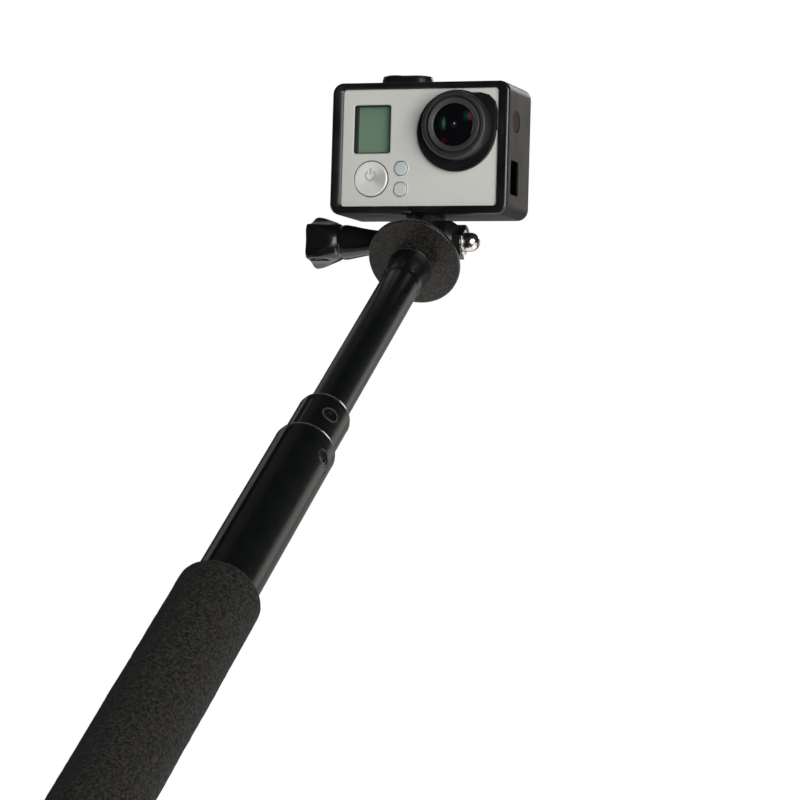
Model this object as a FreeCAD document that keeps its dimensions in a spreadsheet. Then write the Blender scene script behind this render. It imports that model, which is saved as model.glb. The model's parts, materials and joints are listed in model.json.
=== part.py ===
import FreeCAD
import Part
import Sketcher
import math
import os

# Telescopic selfie stick with a tilting head that carries a small action camera in a clip frame.
# Row frame: +Z runs up the pole towards the head and +X lies along the tilt screw.
# The origin is on the pole's axis, at the middle of the foam grip.
# Head pieces are drawn in the head's own frame, whose origin is the tilt axis: X is the camera's
# width, -Y is where the lens looks and Z is the camera's height. One placement tilts them all.

DRIVING_DIMENSIONS = {
    # pole
    "outer_tube_r": 10.25, "outer_tube_wall": 0.8, "outer_tube_low": -64.0, "outer_rim": 140.2,
    "middle_tube_r": 8.85, "middle_tube_wall": 0.7, "middle_tube_low": -34.0, "middle_rim": 160.2,
    "inner_tube_r": 6.75, "inner_tube_wall": 0.8, "inner_tube_low": 56.0, "inner_tube_top": 253.0,
    "key_angle": -104.0, "key_centre": 10.35, "key_groove_r": 1.0, "key_gap": 0.25,
    "bush_flange": 1.2, "bush_length": 18.0, "bush_gap": 0.02, "slide_gap": 0.08,
    "flange_proud": 0.05, "shoe_length": 14.0,
    "mark_below_rim": 9.3, "mark_hole_r": 3.2, "boss_r": 2.95, "boss_eye_r": 1.5, "boss_sink": 0.3,
    "outer_mark_angle": -15.0, "middle_mark_angle": -44.5, "vent_r": 0.5, "vent_angle": 8.0,
    "vent_drop": 2.4,
    "grip_r": 13.5, "grip_half": 59.5, "grip_straight": 55.0, "grip_bend_drop": 0.4,
    "grip_bend": 2.4, "grip_shoulder_drop": 1.4, "grip_shoulder": 0.6, "grip_end_drop": 2.6,
    "end_cap_r": 13.0, "end_cap_low": -69.0, "end_cap_edge_r": 1.2, "end_cap_edge": 1.4,
    "end_plug_top": -54.0, "eye_tab_r": 6.5, "eye_tab_thick": 4.0, "eye_hole_r": 2.5,
    "eye_drop": 4.0, "eye_hole_drop": 1.5,
    # head mount
    "cap_r": 7.05, "cap_low": 243.4, "cap_top": 257.0, "cap_plug_low": 236.0,
    "cap_flare_low": 250.5, "cap_lip_r": 7.9, "cap_lip": 0.7,
    "rivet_r": 0.8, "rivet_height": 246.2, "rivet_angle": -46.0,
    "rivet_root": 0.6, "rivet_proud": 0.25,
    "stud_r": 3.1, "stud_low": 238.0, "stud_gap": 0.05, "stud_tip": 0.5, "disc_r": 16.35,
    "disc_low": 260.9, "disc_thick": 1.8, "disc_edge": 0.35, "disc_neck_r": 5.0,
    "pad_thick": 0.6, "pad_r": 15.7, "pad_edge": 0.2, "turn_gap": 0.1,
    # tilt hinge
    "hinge_height": 275.0, "head_tilt": 55.5, "prong_r": 7.5, "prong_thick": 3.0,
    "prong_pitch": 6.2, "base_r": 9.4, "base_top_drop": 7.8, "screw_r": 2.5, "screw_gap": 0.08,
    "insert_r": 4.5, "boss_end": 11.6, "guard_end": 14.6, "guard_r": 6.1, "guard_slot": 7.2,
    "shoulder_start": 9.4, "nut_flats": 8.0, "nut_length": 3.2, "nut_dome_r": 3.3,
    "nut_tip": 20.0, "nut_roof": 3.4, "nut_bay_r": 4.8, "nut_clear": 0.05, "nut_blend": 0.2,
    "bolt_short": 0.7, "bolt_tip": 0.5, "knob_cap_sunk": 0.2, "knob_cap_edge": 0.6,
    "knob_start": -7.9, "shank_r": 4.0, "taper_x": -17.2, "taper_r": 4.15, "waist_x": -23.5,
    "waist_r": 5.1, "collar_x0": -28.6, "collar_x1": -30.3, "collar_r": 6.1, "groove_x": -30.8,
    "groove_floor_r": 5.7, "flare_x0": -31.4, "flare_r0": 6.3, "flare_x1": -34.6,
    "flare_r1": 7.6, "flare_x2": -37.6, "flare_r2": 8.8, "crown_x0": -40.2, "crown_x1": -41.2,
    "crown_r": 9.5, "knob_end": -41.9, "knob_face_r": 8.8, "knob_seat": -30.0,
    "knob_head_r": 4.6, "knob_head_long": 4.0, "knob_cap_r": 5.2, "knob_cap_thick": 2.6,
    "screw_fit": 0.02, "flute_r": 11.6, "flute_centre": 18.6, "flute_length": 10.5,
    "flute_angle": -2.2, "flutes": 5,
    # clip frame
    "frame_w": 65.0, "frame_d": 24.9, "frame_z0": 8.8, "frame_z1": 55.0, "frame_front": -9.75,
    "frame_corner_r": 3.8, "window_w": 56.8, "window_z0": 11.8, "window_z1": 52.6,
    "bezel_thick": 1.2, "bezel_seam": 0.2, "bay_w": 59.8, "bay_z0": 11.1, "bay_z1": 53.3,
    "rear_lip": 1.9, "rear_inset": 4.8, "notch_w": 4.2, "notch_x": 0.3,
    "notch_flare": 4.0, "notch_lip": 0.4, "notch_deep": 0.8,
    "port_y0": -6.2, "port_y1": 2.7, "port_z0": 15.9, "port_z1": 27.9,
    "sensor_y": -1.1, "sensor_z": 41.5, "sensor_r": 3.9, "sensor_deep": 1.2,
    "sensor_sunk": 0.8, "sensor_face_sunk": 0.6, "sensor_rim": 0.5, "ear_root": 0.5,
    "shroud_x0": -17.7, "shroud_x1": 0.0, "shroud_y": 2.2, "shroud_r": 4.8, "shroud_top": 58.3,
    "shutter_x": -12.9, "shutter_r": 3.9, "shutter_top": 59.2,
    # camera
    "case_w": 59.4, "case_z0": 11.3, "case_z1": 53.1, "case_front": -7.5, "case_back": 12.2,
    "case_wall": 1.6, "case_corner_r": 1.4, "plate_front": -8.5, "plate_thick": 1.0,
    "plate_gap": 0.1, "fit": 0.02, "slack": 0.05,
    "display_x0": -24.6, "display_x1": -10.8, "display_z0": 30.1, "display_z1": 47.4,
    "hood_wall": 0.45, "hood_sunk": 0.15, "hood_back": 2.8, "window_sunk": 0.5,
    "window_back": 1.1, "window_step": 1.0, "panel_sunk": 1.3, "panel_back": 2.9,
    "panel_ledge": 0.3,
    "power_x": -17.7, "power_z": 21.4, "power_r": 6.3, "power_gap": 0.15, "press": 0.5,
    "button_edge": 0.3, "button_face": 1.0, "button_skirt": 0.9, "button_rest": 0.15,
    "stem_r": 1.6, "stem_start": 1.9, "switch_tall": 2.1, "switch_key_r": 1.5,
    "switch_key": 0.7, "switch_r": 2.9, "top_stem_r": 1.5, "top_stem_gap": 0.3,
    "top_stem_hole_r": 1.7, "top_switch_gap": 0.4, "top_switch_key_r": 1.4,
    "top_switch_r": 2.6, "top_switch_tall": 2.4,
    "lamp_x": -6.9, "lamp_z": 25.0, "lamp_step": 7.3, "lamp_r": 2.85, "lamp_proud": 0.1,
    "lamp_back": 1.4,
    "surround_x": 13.6, "surround_z": 37.75, "surround_r": 14.2, "surround_proud": 1.9,
    "shoulder_x1": 28.1, "shoulder_z1": 50.9, "shoulder_r": 6.0,
    "shoulder_bulge": 0.13,
    "lens_x": 14.6, "lens_z": 39.1, "barrel_r": 12.0, "barrel_front": -16.6, "barrel_rim_r": 10.9,
    "barrel_edge": 1.6, "barrel_edge_r": 0.1, "barrel_round_r": 0.45, "barrel_bore_r": 10.0,
    "barrel_seat_r": 8.2, "barrel_seat": 1.4, "ring_outer_r": 9.4, "ring_inner_r": 7.4,
    "ring_foot": 0.8, "ring_edge": 0.2, "ring_dish": 0.55, "glass_r": 7.35,
    "glass_foot_r": 8.1, "glass_back": 3.4, "glass_top": 0.1, "glass_r1": 2.0, "glass_y1": 0.15,
    "glass_r2": 4.0, "glass_y2": 0.35, "glass_r3": 6.0, "glass_y3": 0.75, "glass_edge": 1.0,
    "cell_bore_r": 2.6, "cell_throat": 6.5, "cell_flare": 0.8, "sensor_room": 3.0,
    "board_y": 1.5, "board_thick": 1.2, "board_corner_r": 1.0, "board_inset": 0.4,
    "board_top_inset": 4.2, "chip_half": 6.0, "chip_thick": 1.4, "chip_face_w": 3.1,
    "chip_face_z": 2.3, "chip_face_thick": 1.7, "chip_face_root": 1.3,
    "battery_x0": -26.5, "battery_x1": 1.5, "battery_thick": 7.0, "battery_gap": 0.3,
    "battery_corner_r": 2.5, "battery_base": 1.0, "battery_top": 5.0,
    "jack_x": 22.8, "jack_gap": 0.1, "jack_y": 1.4, "jack_z": 1.6, "jack_corner_r": 0.6,
    "jack_wall": 1.0, "jack_deep": 4.0, "jack_hole_y": 1.2, "jack_hole_z": 1.5,
}

doc = FreeCAD.newDocument("selfie_stick")
sheet = doc.addObject("Spreadsheet::Sheet", "size")
for row, (alias, value) in enumerate(DRIVING_DIMENSIONS.items(), start=1):
    sheet.set(f"A{row}", alias)
    sheet.set(f"B{row}", str(value))
    sheet.setAlias(f"B{row}", alias)
doc.recompute()

sub_parts = []


# ---------------------------------------------------------------- expressions and placements

def size(text):
    """Put the sheet's name in front of every alias in an expression."""
    words = []
    word = ""
    for sign in str(text) + " ":
        if sign.isalnum() or sign == "_":
            word += sign
            continue
        words.append(f"size.{word}" if word in DRIVING_DIMENSIONS else word)
        words.append(sign)
        word = ""
    return "".join(words).strip()


def bind(item, **expressions):
    for name, expression in expressions.items():
        item.setExpression(name.replace("__", "."), size(expression))


def place(item, x="0", y="0", z="0", turn="rotation(vector(0; 0; 1); 0)"):
    item.setExpression("Placement", size(f"placement(vector({x}; {y}; {z}); {turn})"))


def tilt_with_head(item):
    """Stand a piece drawn in the head's frame on the tilt axis, at the head's tilt."""
    place(item, z="hinge_height", turn="rotation(vector(1; 0; 0); head_tilt)")


def sub_part(item, label):
    item.Label = label
    sub_parts.append(item)
    return item


def round_the_pole(angle, radius):
    return f"({radius}) * cos({angle})", f"({radius}) * sin({angle})"


# ---------------------------------------------------------------- Part primitives and booleans

AXIS_TURNS = {
    "X": "rotation(vector(0; 1; 0); 90)",
    "Y": "rotation(vector(1; 0; 0); -90)",
    "Z": "rotation(vector(0; 0; 1); 0)",
}


def cylinder(radius, start, end, axis="Z", at=("0", "0")):
    """A cylinder from start to end along an axis; at gives the two other coordinates in order."""
    item = doc.addObject("Part::Cylinder", "cylinder")
    bind(item, Radius=radius, Height=f"({end}) - ({start})")
    spots = {"X": (start, *at), "Y": (at[0], start, at[1]), "Z": (*at, start)}
    place(item, *spots[axis], turn=AXIS_TURNS[axis])
    return item


def spoke(radius, start, end, height, angle):
    """A cylinder that points straight out of the pole."""
    item = doc.addObject("Part::Cylinder", "spoke")
    bind(item, Radius=radius, Height=f"({end}) - ({start})")
    x, y = round_the_pole(angle, start)
    turn = f"rotation(vector(0; 0; 1); {angle}) * rotation(vector(0; 1; 0); 90)"
    place(item, x, y, height, turn)
    return item


def box(low, high):
    item = doc.addObject("Part::Box", "box")
    lengths = [f"({b}) - ({a})" for a, b in zip(low, high)]
    bind(item, Length=lengths[0], Width=lengths[1], Height=lengths[2])
    place(item, *low)
    return item


def fuse(*items):
    item = doc.addObject("Part::MultiFuse", "fuse")
    item.Shapes = list(items)
    return item


def cut(base, *tools):
    item = doc.addObject("Part::Cut", "cut")
    item.Base = base
    item.Tool = tools[0] if len(tools) == 1 else fuse(*tools)
    return item


def common(first, second):
    item = doc.addObject("Part::Common", "common")
    item.Base = first
    item.Tool = second
    return item


def ring(outer, inner, start, end, axis="Z", at=("0", "0")):
    return cut(cylinder(outer, start, end, axis, at), cylinder(inner, start, end, axis, at))


# ---------------------------------------------------------------- PartDesign bodies

PLANES = {"X": "YZ_Plane", "Y": "XZ_Plane", "Z": "XY_Plane"}


def new_body(label):
    return sub_part(doc.addObject("PartDesign::Body", label), label)


def new_sketch(body, plane, offset=("0", "0", "0")):
    """A sketch on one of the body's own origin planes, moved by an offset in the sketch's axes."""
    sketch = body.newObject("Sketcher::SketchObject", "outline")
    feature = [f for f in body.Origin.OriginFeatures if f.Role == plane][0]
    sketch.AttachmentSupport = [(feature, "")]
    sketch.MapMode = "FlatFace"
    for letter, distance in zip("xyz", offset):
        sketch.setExpression(f"AttachmentOffset.Base.{letter}", size(distance))
    return sketch


def fix_point(sketch, geometry, position, x, y):
    for kind, distance in (("DistanceX", x), ("DistanceY", y)):
        number = sketch.addConstraint(Sketcher.Constraint(kind, -1, 1, geometry, position, 1.0))
        sketch.setExpression(f"Constraints[{number}]", size(distance))


def add_polygon(sketch, points):
    """A closed outline whose corners are all held by expressions."""
    count = len(points)
    start_points = []
    for number in range(count):
        angle = 2 * math.pi * number / count
        start_points.append(FreeCAD.Vector(math.cos(angle), math.sin(angle), 0))
    sides = []
    for number in range(count):
        sides.append(Part.LineSegment(start_points[number], start_points[(number + 1) % count]))
    lines = sketch.addGeometry(sides, False)
    for number in range(count):
        follower = lines[(number + 1) % count]
        sketch.addConstraint(Sketcher.Constraint("Coincident", lines[number], 2, follower, 1))
    for line, (x, y) in zip(lines, points):
        fix_point(sketch, line, 1, x, y)


def add_circle(sketch, x, y, radius):
    shape = Part.Circle(FreeCAD.Vector(1, 1, 0), FreeCAD.Vector(0, 0, 1), 1)
    circle = sketch.addGeometry(shape, False)
    fix_point(sketch, circle, 3, x, y)
    number = sketch.addConstraint(Sketcher.Constraint("Radius", circle, 1.0))
    sketch.setExpression(f"Constraints[{number}]", size(radius))


def rectangle(x0, x1, y0, y1):
    return [(x0, y0), (x1, y0), (x1, y1), (x0, y1)]


def turned(label, axis, outline, at=("0", "0", "0")):
    """A body of revolution. The outline's points are (radius, distance along the axis)."""
    body = new_body(label)
    plane, points, reference = "XZ_Plane", outline, "V_Axis"
    offset = (at[0], at[2], f"-({at[1]})")
    if axis == "Y":
        plane, offset = "XY_Plane", at
    if axis == "X":
        plane, offset, reference = "XY_Plane", at, "H_Axis"
        points = [(along, radius) for radius, along in outline]
    sketch = new_sketch(body, plane, offset)
    add_polygon(sketch, points)
    feature = body.newObject("PartDesign::Revolution", "turned")
    feature.Profile = sketch
    feature.ReferenceAxis = (sketch, [reference])
    feature.Angle = 360.0
    return body


def slab(body, axis, start, end, polygons=(), circles=(), remove=False):
    """Pad or pocket outlines from start to end along an axis of the body."""
    # an XZ sketch faces -Y, so its plane starts at the far end and the feature comes back
    plane_at = f"-({end})" if axis == "Y" else start
    sketch = new_sketch(body, PLANES[axis], ("0", "0", plane_at))
    for points in polygons:
        add_polygon(sketch, points)
    for x, y, radius in circles:
        add_circle(sketch, x, y, radius)
    kind = "PartDesign::Pocket" if remove else "PartDesign::Pad"
    feature = body.newObject(kind, "slab")
    feature.Profile = sketch
    feature.setExpression("Length", size(f"({end}) - ({start})"))
    feature.Reversed = remove
    return feature


def soften(body, feature, radius, wanted, kind="PartDesign::Fillet"):
    """Round or chamfer the edges of a feature that a test picks."""
    doc.recompute()
    names = []
    for number, edge in enumerate(feature.Shape.Edges, start=1):
        if wanted(edge):
            names.append(f"Edge{number}")
    item = body.newObject(kind, "soft_edges")
    item.Base = (feature, names)
    property_name = "Radius" if kind == "PartDesign::Fillet" else "Size"
    item.setExpression(property_name, size(radius))
    return item


def runs_along(direction):
    """A test for straight edges along a direction."""
    def test(edge):
        if edge.Curve.TypeId != "Part::GeomLine":
            return False
        first, last = (vertex.Point for vertex in edge.Vertexes)
        return abs((last - first).normalize().dot(direction)) > 0.99
    return test


ALONG_X = FreeCAD.Vector(1, 0, 0)
ALONG_Y = FreeCAD.Vector(0, 1, 0)


def rounded_block(label, x, y, z, corner, along_y=True):
    """A block with its four edges along Y, or along X, rounded."""
    body = new_body(label)
    feature = slab(body, "Y", y[0], y[1], [rectangle(x[0], x[1], z[0], z[1])])
    soften(body, feature, corner, runs_along(ALONG_Y if along_y else ALONG_X))
    return body


# ---------------------------------------------------------------- telescopic pole

OUTER_RIB = "(key_groove_r + outer_tube_wall)"
MIDDLE_GROOVE = "(key_groove_r + outer_tube_wall + key_gap)"
MIDDLE_RIB = "(key_groove_r + outer_tube_wall + key_gap + middle_tube_wall)"
OUTER_BORE = "(outer_tube_r - outer_tube_wall)"
MIDDLE_BORE = "(middle_tube_r - middle_tube_wall)"


def key_rod(radius, start, end):
    return cylinder(radius, start, end, at=round_the_pole("key_angle", "key_centre"))


def keyed_tube(radius, bore, groove, rib, start, end):
    """A drawn tube with a channel pressed in along it, so its bore carries a matching rib."""
    skin = cut(cylinder(radius, start, end), key_rod(groove, start, end))
    hollow = cut(cylinder(bore, start, end), key_rod(rib, start, end))
    return cut(skin, hollow)


def make_tubes():
    outer_end = "(outer_rim - bush_flange)"
    outer = keyed_tube("outer_tube_r", OUTER_BORE, "key_groove_r", OUTER_RIB,
                       "outer_tube_low", outer_end)
    mark = spoke("mark_hole_r", "-outer_tube_r - 1", "outer_tube_r + 1",
                 "outer_rim - mark_below_rim", "outer_mark_angle")
    vent = spoke("vent_r", "outer_tube_r - 2", "outer_tube_r + 1",
                 "outer_rim - mark_below_rim - vent_drop", "vent_angle")
    sub_part(cut(outer, mark, vent), "outer_tube")
    middle_end = "(middle_rim - bush_flange)"
    middle = keyed_tube("middle_tube_r", MIDDLE_BORE, MIDDLE_GROOVE, MIDDLE_RIB,
                        "middle_tube_low", middle_end)
    mark = spoke("mark_hole_r", "-middle_tube_r - 1", "middle_tube_r + 1",
                 "middle_rim - mark_below_rim", "middle_mark_angle")
    sub_part(cut(middle, mark), "middle_tube")
    inner = ring("inner_tube_r", "inner_tube_r - inner_tube_wall", "inner_tube_low",
                 "inner_tube_top")
    rivet_hole = spoke("rivet_r + screw_fit", "inner_tube_r - 2", "inner_tube_r + 1",
                       "rivet_height", "rivet_angle")
    sub_part(cut(inner, rivet_hole), "inner_tube")


def mouth_bush(label, rim, tube_r, bore_r, shaft_r, rib, angle):
    """The plastic guide in a tube's mouth, held by two round bosses that snap into the wall."""
    top, shoulder, low = rim, f"({rim} - bush_flange)", f"({rim} - bush_length)"
    shaft = f"({shaft_r} + slide_gap)"
    wall = f"({bore_r} - bush_gap)"
    sleeve = cylinder(wall, low, shoulder)
    flange = cylinder(f"{tube_r} + flange_proud", shoulder, top)
    bosses = common(spoke("boss_r", f"-{tube_r}", tube_r, f"{rim} - mark_below_rim", angle),
                    cylinder(f"{tube_r} - boss_sink", low, shoulder))
    eye = ring("outer_tube_r + 1", wall, low, shoulder)
    eyes = common(spoke("boss_eye_r", f"-{tube_r}", tube_r, f"{rim} - mark_below_rim", angle),
                  eye)
    body = fuse(sleeve, flange, bosses)
    channel = key_rod(f"{rib} + key_gap", low, shoulder)
    sub_part(cut(body, cylinder(shaft, low, top), channel, eyes), label)


def slide_shoe(label, low, tube_r, bore_r, rib):
    """The split ring on a tube's lower end that rides the bore and its rib in the tube outside."""
    top = f"({low} + shoe_length)"
    outer = f"({bore_r} - slide_gap)"
    inner = f"({tube_r} + bush_gap)"
    shoe = cut(ring(outer, inner, low, top), key_rod(f"{rib} + key_gap", low, top))
    sub_part(shoe, label)


def make_guides():
    mouth_bush("outer_mouth_bush", "outer_rim", "outer_tube_r", OUTER_BORE, "middle_tube_r",
               OUTER_RIB, "outer_mark_angle")
    mouth_bush("middle_mouth_bush", "middle_rim", "middle_tube_r", MIDDLE_BORE, "inner_tube_r",
               MIDDLE_RIB, "middle_mark_angle")
    slide_shoe("middle_slide_shoe", "middle_tube_low", "middle_tube_r", OUTER_BORE, OUTER_RIB)
    slide_shoe("inner_slide_shoe", "inner_tube_low", "inner_tube_r", MIDDLE_BORE, MIDDLE_RIB)


def make_grip():
    inner = "outer_tube_r + bush_gap"
    half = [("grip_r", "grip_straight"), ("grip_r - grip_bend_drop", "grip_straight + grip_bend"),
            ("grip_r - grip_shoulder_drop", "grip_half - grip_shoulder"),
            ("grip_r - grip_end_drop", "grip_half")]
    upper = [(radius, height) for radius, height in half]
    lower = [(radius, f"-({height})") for radius, height in reversed(half)]
    ends = [(inner, "grip_half"), (inner, "-grip_half")]
    turned("foam_grip", "Z", lower + upper + ends)


def make_end_cap():
    """A cup over the tube's lower end, a plug up its bore and an eye for a wrist lanyard."""
    plug_r = f"{OUTER_BORE} - bush_gap"
    cup = "outer_tube_low"
    body = turned("end_cap", "Z", [
        ("0", "end_cap_low - 1"), ("end_cap_r - 4", "end_cap_low - 1"),
        ("end_cap_r - end_cap_edge_r", "end_cap_low"), ("end_cap_r", "end_cap_low + end_cap_edge"),
        ("end_cap_r", "-grip_half - bush_gap"),
        ("outer_tube_r + bush_gap", "-grip_half - bush_gap"),
        ("outer_tube_r + bush_gap", cup), (plug_r, cup), (plug_r, "end_plug_top"),
        ("0", "end_plug_top")])
    eye = ("0", "end_cap_low - eye_drop", "eye_tab_r")
    half = "eye_tab_thick / 2"
    slab(body, "X", f"-{half}", half, circles=[eye])
    slab(body, "X", f"-{half} - 1", f"{half} + 1", remove=True,
         circles=[("0", "end_cap_low - eye_drop - eye_hole_drop", "eye_hole_r")])
    # the tube's bottom seat and the key rib both need room in the plug
    slab(body, "Z", "outer_tube_low", "end_plug_top + 1", remove=True,
         circles=[(*round_the_pole("key_angle", "key_centre"), f"{OUTER_RIB} + bush_gap")])


# ---------------------------------------------------------------- head mount on the pole

def make_head_mount():
    bore = "stud_r + screw_fit"
    body = turned("head_cap", "Z", [
        (bore, "cap_plug_low"), ("inner_tube_r - inner_tube_wall - bush_gap", "cap_plug_low"),
        ("inner_tube_r - inner_tube_wall - bush_gap", "inner_tube_top + bush_gap"),
        ("inner_tube_r + bush_gap", "inner_tube_top + bush_gap"),
        ("inner_tube_r + bush_gap", "cap_low"), ("cap_r", "cap_low"),
        ("cap_r", "cap_flare_low"), ("cap_lip_r", "cap_top - cap_lip"),
        ("cap_lip_r - cap_lip", "cap_top"), (bore, "cap_top")])
    feature = slab(body, "X", "0", "cap_r + 1", remove=True,
                   circles=[("0", "rivet_height", "rivet_r + screw_fit")])
    spin = "rotation(vector(0; 0; 1); rivet_angle)"
    place(body, turn=spin)
    feature.Label = "rivet_hole"
    rivet = spoke("rivet_r", "stud_r + rivet_root", "cap_r + rivet_proud", "rivet_height",
                  "rivet_angle")
    sub_part(rivet, "cap_rivet")
    stud_top = "(hinge_height - base_top_drop - turn_gap)"
    turned("mount_stud", "Z", [
        ("0", "stud_low"), ("stud_r - stud_tip", "stud_low"), ("stud_r", "stud_low + stud_tip"),
        ("stud_r", f"{stud_top} - stud_tip"), ("stud_r - stud_tip", stud_top), ("0", stud_top)])
    disc_top = "disc_low + disc_thick"
    turned("mount_disc", "Z", [
        (bore, "cap_top"), ("disc_neck_r", "cap_top"), ("disc_neck_r", "disc_low"),
        ("disc_r - disc_edge", "disc_low"), ("disc_r", "disc_low + disc_edge"),
        ("disc_r", f"{disc_top} - disc_edge"), ("disc_r - disc_edge", disc_top),
        (bore, disc_top)])
    pad_top = f"{disc_top} + pad_thick"
    turned("disc_pad", "Z", [
        (bore, disc_top), ("pad_r", disc_top), ("pad_r", f"{pad_top} - pad_edge"),
        ("pad_r - pad_edge", pad_top), (bore, pad_top)])


# ---------------------------------------------------------------- tilt hinge

HALF_STACK = "(prong_pitch + prong_thick / 2)"
BASE_LOW = "(disc_low + disc_thick + pad_thick + turn_gap)"
BASE_TOP = "(hinge_height - base_top_drop)"


def prong_plate(centre, low):
    """A flat ear across the tilt axis, rounded over it and running down to low."""
    start, end = f"({centre} - prong_thick / 2)", f"({centre} + prong_thick / 2)"
    eye = cylinder("prong_r", start, end, "X", ("0", "hinge_height"))
    foot = box((start, "-prong_r", low), (end, "prong_r", "hinge_height"))
    return fuse(eye, foot)


def make_hinge_adapter():
    """Three ears on a round base. The last ear has a boss with two guards around the nut."""
    base = cylinder("base_r", BASE_LOW, BASE_TOP)
    ears = [prong_plate(centre, BASE_LOW) for centre in ("-prong_pitch", "0", "prong_pitch")]
    collar = cylinder("prong_r", HALF_STACK, "shoulder_start", "X", ("0", "hinge_height"))
    shoulder = doc.addObject("Part::Cone", "shoulder")
    bind(shoulder, Radius1="prong_r", Radius2="guard_r", Height="boss_end - shoulder_start")
    place(shoulder, "shoulder_start", "0", "hinge_height", AXIS_TURNS["X"])
    boss = cylinder("guard_r", HALF_STACK, "guard_end", "X", ("0", "hinge_height"))
    nut_bay = cylinder("nut_bay_r", "boss_end", "guard_end + 1", "X", ("0", "hinge_height"))
    half = "guard_slot / 2"
    slot = box(("boss_end", "-guard_r - 1", f"hinge_height - {half}"),
               ("guard_end + 1", "guard_r + 1", f"hinge_height + {half}"))
    spin = cylinder("screw_r + screw_gap", f"-{HALF_STACK} - 1", "guard_end + 1", "X",
                    ("0", "hinge_height"))
    seat = cylinder("insert_r + bush_gap", f"{BASE_LOW} - 1", BASE_TOP)
    adapter = cut(fuse(base, *ears, collar, shoulder, boss), spin, seat, nut_bay, slot)
    sub_part(adapter, "hinge_adapter")
    turned("adapter_insert", "Z", [
        ("stud_r + stud_gap", BASE_LOW), ("insert_r", BASE_LOW), ("insert_r", BASE_TOP),
        ("stud_r + stud_gap", BASE_TOP)])


def make_dome_nut():
    centre = ("0", "hinge_height")
    hexagon = doc.addObject("Part::Prism", "hexagon")
    hexagon.Polygon = 6
    bind(hexagon, Circumradius="nut_flats / 2 / cos(30)", Height="nut_length")
    place(hexagon, "boss_end + nut_clear", *centre, turn=AXIS_TURNS["X"])
    dome_base = "boss_end + nut_length - nut_blend"
    neck = cylinder("nut_dome_r", dome_base, "nut_tip - nut_dome_r", "X", centre)
    dome = doc.addObject("Part::Sphere", "dome")
    bind(dome, Radius="nut_dome_r")
    place(dome, "nut_tip - nut_dome_r", *centre)
    thread = cylinder("screw_r + screw_gap", "boss_end - 1", "nut_tip - nut_roof", "X", centre)
    sub_part(cut(fuse(hexagon, neck, dome), thread), "dome_nut")


def make_thumb_screw():
    at = ("0", "0", "hinge_height")
    bore = "screw_r + screw_fit"
    head = "knob_head_r + screw_fit"
    lid = "knob_cap_r + screw_fit"
    cap_seat = "(knob_end + knob_cap_thick)"
    knob = turned("thumb_knob", "X", [
        (bore, "knob_start"), ("shank_r", "knob_start"), ("taper_r", "taper_x"),
        ("waist_r", "waist_x"), ("collar_r", "collar_x0"), ("collar_r", "collar_x1"),
        ("groove_floor_r", "groove_x"), ("flare_r0", "flare_x0"), ("flare_r1", "flare_x1"),
        ("flare_r2", "flare_x2"), ("crown_r", "crown_x0"), ("crown_r", "crown_x1"),
        ("knob_face_r", "knob_end"), (lid, "knob_end"), (lid, cap_seat), (head, cap_seat),
        (head, "knob_seat"), (bore, "knob_seat")])
    flute = slab(knob, "X", "knob_end - 1", "knob_end + flute_length", remove=True, circles=[
        ("flute_centre * sin(flute_angle)", "flute_centre * cos(flute_angle)", "flute_r")])
    pattern = knob.newObject("PartDesign::PolarPattern", "flutes")
    pattern.Originals = [flute]
    turning_axis = [f for f in knob.Origin.OriginFeatures if f.Role == "X_Axis"][0]
    pattern.Axis = (turning_axis, [""])
    pattern.Angle = 360.0
    pattern.Occurrences = DRIVING_DIMENSIONS["flutes"]
    knob.Tip = pattern
    place(knob, z="hinge_height")
    cap_face = "(knob_end + knob_cap_sunk)"
    cap_base = f"{cap_seat} - screw_fit"
    cap = turned("knob_cap", "X", [
        ("0", cap_face), ("knob_cap_r - knob_cap_edge", cap_face),
        ("knob_cap_r", f"{cap_face} + knob_cap_edge"), ("knob_cap_r", cap_base),
        ("0", cap_base)])
    place(cap, z="hinge_height")
    head_back = "knob_seat - knob_head_long"
    tip = "(nut_tip - nut_roof - bolt_short)"
    turned("hinge_bolt", "X", [
        ("0", head_back), ("knob_head_r", head_back), ("knob_head_r", "knob_seat - screw_fit"),
        ("screw_r", "knob_seat - screw_fit"), ("screw_r", f"{tip} - bolt_tip"),
        ("screw_r - bolt_tip", tip), ("0", tip)], at)


# ---------------------------------------------------------------- clip frame (head frame)

BEZEL_BACK = "(frame_front + bezel_thick)"
SHELL_FRONT = "(frame_front + bezel_thick + bezel_seam)"
SHELL_BACK = "(frame_front + frame_d)"


def half_span(width):
    return f"-({width}) / 2", f"({width}) / 2"


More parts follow.
